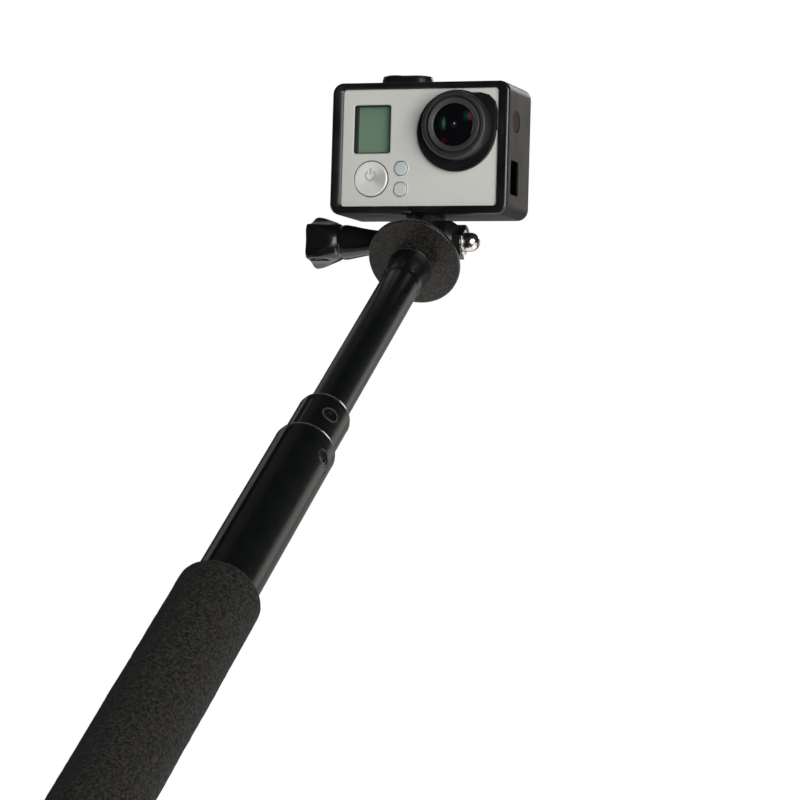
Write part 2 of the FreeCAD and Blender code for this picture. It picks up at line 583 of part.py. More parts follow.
def make_clip_frame():
    """The shell around the camera, with two ears under it and a button shroud on top."""
    body = new_body("camera_frame")
    x0, x1 = half_span("frame_w")
    outside = slab(body, "Y", SHELL_FRONT, SHELL_BACK, [rectangle(x0, x1, "frame_z0", "frame_z1")])
    soften(body, outside, "frame_corner_r", runs_along(ALONG_Y))
    bay = rectangle(*half_span("bay_w"), "bay_z0", "bay_z1")
    slab(body, "Y", f"{SHELL_FRONT} - 1", f"{SHELL_BACK} - rear_lip", [bay], remove=True)
    rear = rectangle("-bay_w / 2 + rear_inset", "bay_w / 2 - rear_inset", "bay_z0 + rear_inset",
                     "bay_z1 - rear_inset")
    slab(body, "Y", f"{SHELL_BACK} - rear_lip - 1", f"{SHELL_BACK} + 1", [rear], remove=True)
    centre_z = "(frame_z1 - 1)"
    shroud = slab(body, "Z", centre_z, "shroud_top", [rectangle(
        "shroud_x0 + shroud_r", "shroud_x1 - shroud_r", "shroud_y - shroud_r",
        "shroud_y + shroud_r")])
    shroud.Label = "button_shroud"
    for x in ("shroud_x0 + shroud_r", "shroud_x1 - shroud_r"):
        slab(body, "Z", centre_z, "shroud_top", circles=[(x, "shroud_y", "shroud_r")])
    slab(body, "Z", "bay_z1 - 1", "shroud_top + 1", remove=True,
         circles=[("shutter_x", "shroud_y", "shutter_r + power_gap")])
    slab(body, "X", "bay_w / 2 - 1", "frame_w / 2 + 1",
         [rectangle("port_y0", "port_y1", "port_z0", "port_z1")], remove=True)
    slab(body, "X", "frame_w / 2 - sensor_deep", "frame_w / 2 + 1", remove=True,
         circles=[("sensor_y", "sensor_z", "sensor_r")])
    for centre in ("-prong_pitch / 2", "prong_pitch / 2"):
        start, end = f"({centre} - prong_thick / 2)", f"({centre} + prong_thick / 2)"
        slab(body, "X", start, end, [rectangle("-prong_r", "prong_r", "0", "frame_z0 + ear_root")])
        slab(body, "X", start, end, circles=[("0", "0", "prong_r")])
    slab(body, "X", f"-{HALF_STACK}", HALF_STACK, remove=True,
         circles=[("0", "0", "screw_r + screw_gap")])
    tilt_with_head(body)


def make_bezel():
    """The flat clip-on border that holds the camera in, with a finger notch under the middle."""
    body = new_body("front_bezel")
    x0, x1 = half_span("frame_w")
    outside = slab(body, "Y", "frame_front", BEZEL_BACK,
                   [rectangle(x0, x1, "frame_z0", "frame_z1")])
    soften(body, outside, "frame_corner_r", runs_along(ALONG_Y))
    window = rectangle(*half_span("window_w"), "window_z0", "window_z1")
    slab(body, "Y", "frame_front - 1", f"{BEZEL_BACK} + 1", [window], remove=True)
    notch = [("notch_x - notch_w / 2 - notch_flare", "window_z0 + 1"),
             ("notch_x - notch_w / 2", "frame_z0 + notch_lip"),
             ("notch_x + notch_w / 2", "frame_z0 + notch_lip"),
             ("notch_x + notch_w / 2 + notch_flare", "window_z0 + 1")]
    slab(body, "Y", "frame_front - 1", "frame_front + notch_deep", [notch], remove=True)
    tilt_with_head(body)
    spot = ("sensor_y", "sensor_z")
    floor = "frame_w / 2 - sensor_deep"
    rim = cylinder("sensor_r - slack", floor, "frame_w / 2 - sensor_sunk", "X", spot)
    face = cylinder("sensor_r - sensor_rim", floor, "frame_w / 2 - sensor_face_sunk", "X", spot)
    tilt_with_head(sub_part(fuse(rim, face), "side_sensor_cover"))


# ---------------------------------------------------------------- camera (head frame)

def make_case():
    body = new_body("camera_case")
    outside = slab(body, "Y", "case_front", "case_back",
                   [rectangle(*half_span("case_w"), "case_z0", "case_z1")])
    soften(body, outside, "case_corner_r", runs_along(ALONG_Y))
    inside = rectangle(*half_span("case_w - 2 * case_wall"), "case_z0 + case_wall",
                       "case_z1 - case_wall")
    slab(body, "Y", "case_front - 1", "case_back - case_wall", [inside], remove=True)
    jack_hole = rectangle("port_y0 + jack_hole_y", "port_y1 - jack_hole_y",
                          "port_z0 + jack_hole_z", "port_z1 - jack_hole_z")
    slab(body, "X", "case_w / 2 - case_wall - 1", "case_w / 2 + 1", [jack_hole], remove=True)
    slab(body, "Z", "case_z1 - case_wall - 1", "case_z1 + 1", remove=True,
         circles=[("shutter_x", "shroud_y", "top_stem_hole_r")])
    tilt_with_head(body)


def make_front_plate():
    """The brushed plate, cut out for the display, the button, the lamps and the lens."""
    back = "(plate_front + plate_thick - fit)"
    body = new_body("front_plate")
    outside = slab(body, "Y", "plate_front", back,
                   [rectangle(*half_span("case_w"), "case_z0", "case_z1")])
    soften(body, outside, "case_corner_r", runs_along(ALONG_Y))
    display = rectangle("display_x0", "display_x1", "display_z0", "display_z1")
    holes = [("power_x", "power_z", "power_r + power_gap"),
             ("lamp_x", "lamp_z", "lamp_r + plate_gap"),
             ("lamp_x", "lamp_z - lamp_step", "lamp_r + plate_gap")]
    slab(body, "Y", "plate_front - 1", f"{back} + 1", [display], holes, remove=True)
    slab(body, "Y", "plate_front - 1", f"{back} + 1", remove=True,
         circles=[("lens_x", "lens_z", "barrel_r + plate_gap")])
    tilt_with_head(body)


def make_display():
    spans = ("display_x0 + {0}", "display_x1 - {0}", "display_z0 + {0}", "display_z1 - {0}")
    outer = [span.format("slack") for span in spans]
    inner = [span.format("(slack + hood_wall)") for span in spans]
    hood = new_body("display_hood")
    slab(hood, "Y", "plate_front + hood_sunk", "plate_front + hood_back", [rectangle(*outer)])
    slab(hood, "Y", "plate_front - 1", "plate_front + hood_back + 1", [rectangle(*inner)],
         remove=True)
    tilt_with_head(hood)
    x0, x1, z0, z1 = [span.format("(2 * slack + hood_wall)") for span in spans]
    window = box((x0, "plate_front + window_sunk", z0), (x1, "plate_front + window_back", z1))
    step = box((x0, "plate_front + window_step", f"{z0} + 1"),
               (x1, "plate_front + window_back + plate_gap", f"{z1} - 1"))
    tilt_with_head(sub_part(fuse(window, step), "display_window"))
    panel = box((x0, "plate_front + panel_sunk", z0), (x1, "plate_front + panel_back", z1))
    ledge = box((x0, "plate_front + panel_back - panel_ledge", f"{z0} + 2"),
                (x1, "plate_front + panel_back + panel_ledge", f"{z1} - 1"))
    tilt_with_head(sub_part(fuse(panel, ledge), "display_panel"))


def make_power_button():
    at = ("power_x", "0", "power_z")
    face = "plate_front - press"
    rest = "(plate_front + plate_thick + button_rest)"
    tip = "board_y - switch_tall - press - plate_gap"
    button = turned("power_button", "Y", [
        ("0", face), ("power_r - button_face", face),
        ("power_r - button_edge", f"{face} + button_edge / 2"), ("power_r", "plate_front"),
        ("power_r", rest), ("power_r + button_skirt", rest),
        ("power_r + button_skirt", "plate_front + stem_start"),
        ("stem_r", "plate_front + stem_start"), ("stem_r", tip), ("0", tip)], at)
    tilt_with_head(button)
    key, foot = "board_y - switch_tall", "board_y - fit"
    switch = turned("power_switch", "Y", [
        ("0", key), ("switch_key_r", key), ("switch_key_r", f"{key} + switch_key"),
        ("switch_r", f"{key} + switch_key"), ("switch_r", foot), ("0", foot)], at)
    tilt_with_head(switch)


def make_shutter_button():
    at = ("shutter_x", "shroud_y", "0")
    skirt = "case_z1 + press + top_stem_gap"
    tip = "case_z1 - case_wall - top_stem_gap"
    button = turned("shutter_button", "Z", [
        ("0", "shutter_top"), ("shutter_r - button_face", "shutter_top"),
        ("shutter_r - button_edge", "shutter_top - button_edge / 2"),
        ("shutter_r", "shutter_top - switch_key"), ("shutter_r", skirt), ("top_stem_r", skirt),
        ("top_stem_r", tip), ("0", tip)], at)
    tilt_with_head(button)
    top = "case_z1 - case_wall - top_switch_gap - press"
    switch = turned("shutter_switch", "Z", [
        ("0", top), ("top_switch_key_r", top), ("top_switch_key_r", f"{top} - switch_key"),
        ("top_switch_r", f"{top} - switch_key"), ("top_switch_r", f"{top} - top_switch_tall"),
        ("0", f"{top} - top_switch_tall")], at)
    tilt_with_head(switch)


def make_lamps():
    lamps = []
    for step in ("0", "lamp_step"):
        spot = ("lamp_x", f"lamp_z - {step}")
        lamps.append(cylinder("lamp_r", "plate_front - lamp_proud", "plate_front + lamp_back",
                              "Y", spot))
    tilt_with_head(sub_part(fuse(*lamps), "indicator_lamps"))


def make_lens():
    """A raised surround, a barrel, a front ring, the glass, a rear lens cell and the sensor."""
    face, back = "(plate_front - surround_proud)", "(plate_front - fit)"
    body = new_body("lens_surround")
    disc = slab(body, "Y", face, back, circles=[("surround_x", "surround_z", "surround_r")])
    disc.Label = "round_field"
    top, side = "shoulder_z1", "shoulder_x1"
    slab(body, "Y", face, back, [[
        ("surround_x", "surround_z"), (side, "surround_z"), (side, f"{top} - shoulder_r"),
        (f"{side} - shoulder_r * shoulder_bulge", f"{top} - shoulder_r / 2"),
        (f"{side} - shoulder_r / 2", f"{top} - shoulder_r * shoulder_bulge"),
        (f"{side} - shoulder_r", top), ("surround_x", top)]])
    slab(body, "Y", f"{face} - 1", f"{back} + 1", remove=True,
         circles=[("lens_x", "lens_z", "barrel_r + slack")])
    tilt_with_head(body)
    at = ("lens_x", "0", "lens_z")
    front = "barrel_front"
    rear = "board_y - sensor_room"
    edge = f"{front} + barrel_edge"
    barrel = turned("lens_barrel", "Y", [
        ("barrel_r", rear), ("barrel_r", face), ("barrel_r - barrel_edge_r", edge),
        ("barrel_r - barrel_round_r", f"{front} + barrel_edge / 3"), ("barrel_rim_r", front),
        ("barrel_bore_r", front), ("barrel_bore_r", f"{front} + barrel_seat"),
        ("barrel_seat_r", f"{front} + barrel_seat"), ("barrel_seat_r", rear)], at)
    tilt_with_head(barrel)
    ring_back = f"{front} + barrel_seat - slack"
    retainer = turned("lens_ring", "Y", [
        ("barrel_bore_r - slack", ring_back),
        ("barrel_bore_r - slack", f"{front} + ring_foot"),
        ("ring_outer_r", f"{front} + ring_foot"), ("ring_outer_r", f"{front} + ring_edge"),
        ("ring_outer_r - ring_edge", front), ("ring_inner_r", f"{front} + ring_dish"),
        ("ring_inner_r", ring_back)], at)
    tilt_with_head(retainer)
    glass_seat = f"{front} + barrel_seat + plate_gap"
    glass = turned("front_lens", "Y", [
        ("0", f"{front} + glass_back"), ("glass_foot_r", f"{front} + glass_back"),
        ("glass_foot_r", glass_seat), ("glass_r", glass_seat), ("glass_r", f"{front} + glass_edge"),
        ("glass_r3", f"{front} + glass_y3"), ("glass_r2", f"{front} + glass_y2"),
        ("glass_r1", f"{front} + glass_y1"), ("0", f"{front} + glass_top")], at)
    tilt_with_head(glass)
    cell_front = f"{front} + glass_back + plate_gap"
    cell = turned("lens_cell", "Y", [
        ("cell_bore_r", cell_front), ("glass_foot_r", cell_front), ("glass_foot_r", rear),
        ("cell_bore_r + cell_flare", rear), ("cell_bore_r", f"{front} + cell_throat")], at)
    tilt_with_head(cell)


def make_electronics():
    x0, x1 = half_span("case_w - 2 * case_wall - 1")
    board_back = "board_y + board_thick"
    board = rounded_block("main_board", (x0, x1), ("board_y", board_back),
                          ("case_z0 + case_wall + board_inset",
                           "case_z1 - case_wall - board_top_inset"), "board_corner_r")
    tilt_with_head(board)
    package = box(("lens_x - chip_half", "board_y - chip_thick", "lens_z - chip_half"),
                  ("lens_x + chip_half", "board_y - fit", "lens_z + chip_half"))
    chip = box(("lens_x - chip_face_w", "board_y - chip_face_thick", "lens_z - chip_face_z"),
               ("lens_x + chip_face_w", "board_y - chip_face_root", "lens_z + chip_face_z"))
    tilt_with_head(sub_part(fuse(package, chip), "image_sensor"))
    cell = rounded_block("battery", ("battery_x0", "battery_x1"),
                         (f"{board_back} + battery_gap",
                          f"{board_back} + battery_gap + battery_thick"),
                         ("case_z0 + case_wall + battery_base",
                          "case_z1 - case_wall - battery_top"), "battery_corner_r")
    tilt_with_head(cell)
    jack = rounded_block("charging_jack", ("jack_x", "case_w / 2 - case_wall - jack_gap"),
                         ("port_y0 + jack_y", "board_y - slack"),
                         ("port_z0 + jack_z", "port_z1 - jack_z"), "jack_corner_r", along_y=False)
    mouth = rectangle("port_y0 + jack_y + jack_wall", "board_y - slack - jack_wall",
                      "port_z0 + jack_z + jack_wall", "port_z1 - jack_z - jack_wall")
    slab(jack, "X", "case_w / 2 - case_wall - jack_deep", "case_w / 2", [mouth], remove=True)
    tilt_with_head(jack)


# ---------------------------------------------------------------- build, check and write

make_tubes()
make_guides()
make_grip()
make_end_cap()
make_head_mount()
make_hinge_adapter()
make_dome_nut()
make_thumb_screw()
make_clip_frame()
make_bezel()
make_case()
make_front_plate()
make_display()
make_power_button()
make_shutter_button()
make_lamps()
make_lens()
make_electronics()
doc.recompute()

for item in doc.Objects:
    if "Invalid" in item.State or "Error" in item.State:
        raise RuntimeError(f"{item.Label} failed: {item.State}")

os.makedirs("parts", exist_ok=True)
for item in sub_parts:
    shape = item.Shape
    if shape.isNull() or not shape.isValid() or not shape.Solids:
        raise RuntimeError(f"{item.Label} has no valid solid")
    print(item.Label, len(shape.Solids), round(shape.Volume, 1))
    shape.exportStep(f"parts/{item.Label}.step")
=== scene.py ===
"""Looks of a telescopic selfie stick with a small camera on its tilting head.

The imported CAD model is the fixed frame. Lengths are in metres, in the row frame: +Z runs up the
pole and +X along the tilt screw. Head pieces are built in the head's own frame, where X is the
camera's width, -Y is where the lens looks and Z is its height, and are then stood on the tilt axis.
"""

import json
import math

import bmesh
import bpy
from mathutils import Matrix, Vector, noise


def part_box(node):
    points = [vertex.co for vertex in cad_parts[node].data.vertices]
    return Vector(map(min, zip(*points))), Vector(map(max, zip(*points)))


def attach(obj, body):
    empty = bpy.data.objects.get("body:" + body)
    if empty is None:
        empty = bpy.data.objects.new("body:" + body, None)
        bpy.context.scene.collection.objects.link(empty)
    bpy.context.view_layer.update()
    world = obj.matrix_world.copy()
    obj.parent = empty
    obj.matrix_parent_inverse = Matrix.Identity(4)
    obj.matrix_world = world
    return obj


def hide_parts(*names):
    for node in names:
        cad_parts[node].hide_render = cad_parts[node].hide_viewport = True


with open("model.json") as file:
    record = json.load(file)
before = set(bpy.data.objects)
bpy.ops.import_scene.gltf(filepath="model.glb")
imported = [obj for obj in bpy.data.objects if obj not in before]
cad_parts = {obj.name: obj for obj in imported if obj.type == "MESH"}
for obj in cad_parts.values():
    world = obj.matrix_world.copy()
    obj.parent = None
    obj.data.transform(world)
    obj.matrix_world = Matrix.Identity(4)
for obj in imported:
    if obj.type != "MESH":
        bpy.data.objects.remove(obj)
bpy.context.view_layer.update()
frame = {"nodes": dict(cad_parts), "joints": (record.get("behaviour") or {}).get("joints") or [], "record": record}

MM = 0.001


# ---------------------------------------------------------------- places taken from the frame

JOINTS = {joint["name"]: joint for joint in frame["joints"]}
# The power button is pressed straight back into the head, so its axis gives the head's tilt.
PRESS_AXIS = Vector(JOINTS["power_press"]["axis"])
HEAD_TILT = math.atan2(PRESS_AXIS.z, PRESS_AXIS.y)
HINGE = Vector(JOINTS["head_tilt"]["pos_m"])
HEAD = Matrix.Translation(HINGE) @ Matrix.Rotation(HEAD_TILT, 4, "X")
HEAD_INVERSE = HEAD.inverted()
HINGE_LINE = Matrix.Translation(HINGE)
UPRIGHT = Matrix.Identity(4)


def head_box(node):
    """Lowest and highest corner of a CAD node in the head's own frame."""
    points = [HEAD_INVERSE @ vertex.co for vertex in frame["nodes"][node].data.vertices]
    low = Vector(min(point[i] for point in points) for i in range(3))
    high = Vector(max(point[i] for point in points) for i in range(3))
    return low, high


def put_in_scene(name, data):
    """A new object that holds some data, linked to the scene."""
    item = bpy.data.objects.new(name, data)
    bpy.context.scene.collection.objects.link(item)
    return item


# ---------------------------------------------------------------- stage: camera, floor and light

CAMERA_PLACE = Vector((0.3947, -0.5574, -0.7296))
CAMERA_RIGHT = Vector((0.94336, 0.16334, 0.28877))
CAMERA_UP = Vector((-0.01246, -0.85235, 0.52282))
CAMERA_BACK = CAMERA_RIGHT.cross(CAMERA_UP)
CAMERA_LENS, SENSOR = 156.5, 36.0
FLOOR_DROP, FLOOR_HALF = 2.0, 4.0
WASH_LIFT, WASH_POWER = 0.1, 480.0
AMBIENT = 0.018
WHITE, WARM = (1.0, 1.0, 1.0), (1.0, 0.95, 0.89)
LIGHT_AIM = Vector((0.0, 0.0, 0.16))


def make_camera():
    """The view of the object from below and in front."""
    data = bpy.data.cameras.new("camera")
    data.sensor_width = SENSOR
    data.lens = CAMERA_LENS
    data.clip_start = 0.05
    data.clip_end = 200.0
    camera = put_in_scene("camera", data)
    turn = Matrix((CAMERA_RIGHT, CAMERA_UP, CAMERA_BACK)).transposed()
    camera.matrix_world = Matrix.Translation(CAMERA_PLACE) @ turn.to_4x4()
    bpy.context.scene.camera = camera


def seen_from_camera(right, up, back):
    """A direction given in the camera's own axes, in the row frame."""
    return (CAMERA_RIGHT * right + CAMERA_UP * up + CAMERA_BACK * back).normalized()


def skyward(azimuth, elevation):
    """The direction at an azimuth and elevation in degrees, in the row frame."""
    flat = math.cos(math.radians(elevation))
    return Vector((flat * math.cos(math.radians(azimuth)), flat * math.sin(math.radians(azimuth)),
                   math.sin(math.radians(elevation))))


# Name, direction towards the light, distance and width in metres, power in watts, then the
# colour and the height as a share of the width where they aren't white and square.
LIGHTS = (
    ("front_soft", seen_from_camera(0.35, 0.12, 0.93), 1.2, 0.9, 18.0),
    ("under_soft", seen_from_camera(0.25, -0.95, -0.25), 1.0, 1.6, 10.0, WHITE, 0.8),
    ("low_right", seen_from_camera(0.78, -0.55, 0.3), 1.0, 0.9, 4.0),
    ("right_band", skyward(42, 53), 1.2, 0.46, 1.05, WARM, 2.0),
    ("right_edge", skyward(78, 53), 1.2, 0.46, 0.4, WARM, 2.0),
    ("back_edge", skyward(110, 51), 1.2, 0.36, 0.25, WARM, 2.0),
    ("left_band", skyward(185, 53), 1.2, 0.5, 0.39, WARM, 2.0),
    ("left_fill", skyward(236, 53), 1.2, 0.6, 0.09, WARM, 1.5),
    ("disc_soft", Vector((-0.33, 0.5, -0.8)), 1.2, 0.9, 1.1, WARM),
    ("rim_spark", skyward(38, 77), 1.2, 0.3, 1.3),
    ("back_low", skyward(135, 2), 1.2, 0.6, 2.0),
    ("left_low", skyward(168, -8), 1.2, 0.8, 4.0),
    ("over_soft", skyward(-55, 87), 1.2, 0.4, 0.8),
    ("spark", seen_from_camera(0.64, 0.42, 0.66), 1.1, 0.1, 1.0),
)


def make_light(name, direction, distance, size, power, color=WHITE, ratio=1.0):
    """A rectangular light that faces the aim point."""
    data = bpy.data.lights.new(name, "AREA")
    data.shape = "RECTANGLE"
    data.size = size
    data.size_y = size * ratio
    data.energy = power
    data.color = color
    light = put_in_scene(name, data)
    light.location = LIGHT_AIM + direction * distance
    light.rotation_mode = "QUATERNION"
    light.rotation_quaternion = direction.to_track_quat("Z", "Y")


def make_floor():
    """A pale floor with its own wash light, so that neither changes the light on the object."""
    mesh = bpy.data.meshes.new("floor")
    h = FLOOR_HALF
    mesh.from_pydata([(-h, -h, 0), (h, -h, 0), (h, h, 0), (-h, h, 0)], [], [(0, 1, 2, 3)])
    mesh.materials.append(new_material("floor", (0.86, 0.86, 0.85), 0.9))
    floor = put_in_scene("floor", mesh)
    floor.location.z = -FLOOR_DROP
    floor.visible_diffuse = False
    floor.visible_glossy = False

    lamp = bpy.data.lights.new("floor_wash", "AREA")
    lamp.size = 3 * FLOOR_HALF
    lamp.energy = WASH_POWER
    wash = put_in_scene("floor_wash", lamp)
    wash.location.z = WASH_LIFT - FLOOR_DROP
    wash.visible_camera = False


def make_world():
    """White behind the object, and only a faint bluish light from all round on it."""
    world = bpy.data.worlds.new("studio")
    world.use_nodes = True
    nodes, links = world.node_tree.nodes, world.node_tree.links
    background = nodes["Background"]
    background.inputs["Color"].default_value = (0.85, 0.95, 1.0, 1)
    background.inputs["Strength"].default_value = AMBIENT
    backdrop = nodes.new("ShaderNodeBackground")
    backdrop.inputs["Color"].default_value = (*WHITE, 1)
    backdrop.inputs["Strength"].default_value = 1.0
    path = nodes.new("ShaderNodeLightPath")
    mix = nodes.new("ShaderNodeMixShader")
    links.new(path.outputs["Is Camera Ray"], mix.inputs["Fac"])
    links.new(background.outputs["Background"], mix.inputs[1])
    links.new(backdrop.outputs["Background"], mix.inputs[2])
    links.new(mix.outputs["Shader"], nodes["World Output"].inputs["Surface"])
    bpy.context.scene.world = world
    bpy.context.scene.view_settings.view_transform = "Standard"


def make_stage():
    make_floor()
    make_world()
    for light in LIGHTS:
        make_light(*light)


# ---------------------------------------------------------------- materials

def new_material(name, color, roughness, **sockets):
    """A plain shader; other inputs are given by name, with underscores for spaces."""
    material = bpy.data.materials.new(name)
    material.use_nodes = True
    shader = material.node_tree.nodes["Principled BSDF"]
    shader.inputs["Base Color"].default_value = (*color, 1)
    shader.inputs["Roughness"].default_value = roughness
    for socket, value in sockets.items():
        shader.inputs[socket.replace("_", " ")].default_value = value
    return material


def feed(material, output, socket):
    """Let a node's output drive one of the shader's inputs."""
    shader = material.node_tree.nodes["Principled BSDF"]
    material.node_tree.links.new(output, shader.inputs[socket])


NOISE_LOW, NOISE_HIGH = 0.3, 0.7    # what nearly all of a noise texture lies between


def add_noise(material, scale, detail=3.0, stretch=(1.0, 1.0, 1.0)):
    """Noise in the piece's own coordinates; scale counts features per metre."""
    nodes, links = material.node_tree.nodes, material.node_tree.links
    place = nodes.new("ShaderNodeTexCoord")
    mapping = nodes.new("ShaderNodeMapping")
    mapping.inputs["Scale"].default_value = stretch
    texture = nodes.new("ShaderNodeTexNoise")
    texture.inputs["Scale"].default_value = scale
    texture.inputs["Detail"].default_value = detail
    links.new(place.outputs["Object"], mapping.inputs["Vector"])
    links.new(mapping.outputs["Vector"], texture.inputs["Vector"])
    return texture


def add_ramp(material, output, stops):
    """A ramp of (position, colour) stops, driven by a node's output."""
    ramp = material.node_tree.nodes.new("ShaderNodeValToRGB")
    elements = ramp.color_ramp.elements
    while len(elements) < len(stops):
        elements.new(0.5)
    for element, (position, color) in zip(elements, stops):
        element.position = position
        element.color = (*color, 1)
    material.node_tree.links.new(output, ramp.inputs["Fac"])
    return ramp


def vary_color(material, texture, dark, light, low=0.35, high=0.65):
    """Take the colour from dark to light where the texture goes from low to high."""
    ramp = add_ramp(material, texture.outputs["Fac"], ((low, dark), (high, light)))
    feed(material, ramp.outputs["Color"], "Base Color")


def add_span(material, output, start, end, low=0.0, high=1.0):
    """Map the part of an output from start to end onto low to high."""
    span = material.node_tree.nodes.new("ShaderNodeMapRange")
    span.inputs["From Min"].default_value = start
    span.inputs["From Max"].default_value = end
    span.inputs["To Min"].default_value = low
    span.inputs["To Max"].default_value = high
    material.node_tree.links.new(output, span.inputs["Value"])
    return span.outputs["Result"]


def vary_roughness(material, texture, low, high):
    result = add_span(material, texture.outputs["Fac"], NOISE_LOW, NOISE_HIGH, low, high)
    feed(material, result, "Roughness")


def add_bump(material, textures, strength=0.5):
    """Bump from one or more (texture, depth in metres) pairs, one on top of the other."""
    nodes, links = material.node_tree.nodes, material.node_tree.links
    below = None
    for texture, depth in textures:
        bump = nodes.new("ShaderNodeBump")
        bump.inputs["Strength"].default_value = strength
        bump.inputs["Distance"].default_value = depth
        links.new(texture.outputs["Fac"], bump.inputs["Height"])
        if below is not None:
            links.new(below.outputs["Normal"], bump.inputs["Normal"])
        below = bump
    feed(material, below.outputs["Normal"], "Normal")


def moulded(name, dark, light, roughness, grain=2500.0, depth=0.00003, strength=0.25, **sockets):
    """Moulded plastic or cast metal: fine grain, slow colour drift and slightly uneven gloss."""
    material = new_material(name, dark, roughness, **sockets)
    drift = add_noise(material, 90.0, 4.0)
    fine = add_noise(material, grain, 4.0)
    vary_color(material, drift, dark, light)
    vary_roughness(material, drift, roughness - 0.05, roughness + 0.06)
    add_bump(material, [(fine, depth)], strength)
    return material


def anodised_material():
    material = new_material("tube_anodised", (0.0025, 0.003, 0.0032), 0.24, IOR=1.6)
    cloud = add_noise(material, 220.0, 4.0)
    fine = add_noise(material, 4200.0, 2.0)
    vary_color(material, cloud, (0.0022, 0.0028, 0.003), (0.0034, 0.0037, 0.0038))
    vary_roughness(material, cloud, 0.23, 0.26)
    add_bump(material, [(fine, 0.000012)], 0.25)
    return material


def foam_material():
    material = new_material("foam", (0.02, 0.019, 0.018), 0.95, Sheen_Weight=0.02,
                            Sheen_Roughness=0.6, Specular_IOR_Level=0.1)
    cells = add_noise(material, 1000.0, 4.0)
    cells.inputs["Roughness"].default_value = 0.75
    pores = add_noise(material, 3200.0, 3.0)
    patches = add_noise(material, 120.0, 3.0)
    vary_color(material, cells, (0.003, 0.0029, 0.0026), (0.03, 0.0285, 0.0265), 0.4, 0.63)
    add_bump(material, [(patches, 0.0002), (cells, 0.00025), (pores, 0.00012)], 0.7)
    return material


def disc_material():
    """Black metal with a coarse, sparkling powder coat."""
    material = new_material("disc_metal", (0.015, 0.014, 0.013), 0.3)
    grain = add_noise(material, 1700.0, 3.0)
    vary_color(material, grain, (0.004, 0.0038, 0.0035), (0.025, 0.0235, 0.0215), 0.4, 0.66)
    vary_roughness(material, grain, 0.22, 0.36)
    add_bump(material, [(grain, 0.00012)], 0.7)
    return material


def plate_material():
    """Satin silver paint over a very fine grain that runs across the plate."""
    material = new_material("plate_silver", (0.56, 0.56, 0.53), 0.45, Metallic=0.25)
    lines = add_noise(material, 1.0, 4.0, (70.0, 5200.0, 5200.0))
    cloud = add_noise(material, 45.0, 2.0)
    vary_color(material, lines, (0.67, 0.675, 0.63), (0.71, 0.715, 0.67), 0.3, 0.7)
    vary_roughness(material, cloud, 0.43, 0.48)
    add_bump(material, [(lines, 0.000006)], 0.2)
    return material


def into_space(material, space, scale=1.0):
    """Shader coordinates of a space, with its X to the right, Y up and Z towards the viewer."""
    nodes, links = material.node_tree.nodes, material.node_tree.links
    facing = Matrix.Rotation(math.radians(-90), 4, "X") @ space.inverted()
    place = nodes.new("ShaderNodeTexCoord")
    mapping = nodes.new("ShaderNodeMapping")
    mapping.inputs["Location"].default_value = facing.to_translation() * scale
    mapping.inputs["Rotation"].default_value = facing.to_euler()
    mapping.inputs["Scale"].default_value = (scale, scale, scale)
    links.new(place.outputs["Object"], mapping.inputs["Vector"])
    return mapping


def spun_metal_material(space):
    """A turned metal face with its shine painted into the colour: painted highlights that go bright, dull and
    bright again round the angle, in a space centred on it.
    """
    material = new_material("button_silver", (0.5, 0.5, 0.48), 0.4, Metallic=0.35)
    around = material.node_tree.nodes.new("ShaderNodeTexGradient")
    around.gradient_type = "RADIAL"
    place = into_space(material, space)
    material.node_tree.links.new(place.outputs["Vector"], around.inputs["Vector"])
    # Painted highlight and shade round the face's angle.
    bright, soft, dull = (0.98, 0.98, 0.95), (0.82, 0.82, 0.79), (0.54, 0.54, 0.51)
    ramp = add_ramp(material, around.outputs["Fac"], (
        (0.0, bright), (0.2, soft), (0.33, soft), (0.45, dull), (0.54, dull), (0.66, soft),
        (0.8, bright), (1.0, bright)))
    feed(material, ramp.outputs["Color"], "Base Color")
    add_bump(material, [(add_noise(material, 3000.0), 0.00001)], 0.2)
    return material


# Centre and half size on the glass in millimetres, and colour, of each painted reflection: faint coloured
# reflections of the coated elements, and a pale painted highlight near the centre.
PAINTED_REFLECTIONS = (
    ((-3.5, 0.4), (0.9, 2.6), (0.06, 0.11, 0.075)),
    ((-3.9, 0.4), (1.9, 3.4), (0.0, 0.02, 0.01)),
    ((6.0, 3.0), (1.2, 2.2), (0.13, 0.01, 0.055)),
    ((4.6, 3.0), (1.5, 2.2), (0.0, 0.035, 0.014)),
    ((-3.9, -5.4), (2.2, 1.3), (0.045, 0.0, 0.012)),
    ((0.4, 0.3), (0.42, 0.42), (0.5, 0.42, 0.6)),
    ((0.3, 0.0), (1.5, 1.7), (0.018, 0.008, 0.03)),
)
GLASS_BLACK = (0.0004, 0.0004, 0.0005)
REFLECTION_FADE = 0.45    # the radius of a painted reflection's inner part, and how bright it still is there


def vector_math(material, operation, first, second=(0.0, 0.0, 0.0)):
    """Vector arithmetic on a node's output and a constant or another node's output."""
    node = material.node_tree.nodes.new("ShaderNodeVectorMath")
    node.operation = operation
    material.node_tree.links.new(first, node.inputs[0])
    if isinstance(second, tuple):
        node.inputs[1].default_value = second
    else:
        material.node_tree.links.new(second, node.inputs[1])
    return node.outputs["Value" if operation == "LENGTH" else "Vector"]


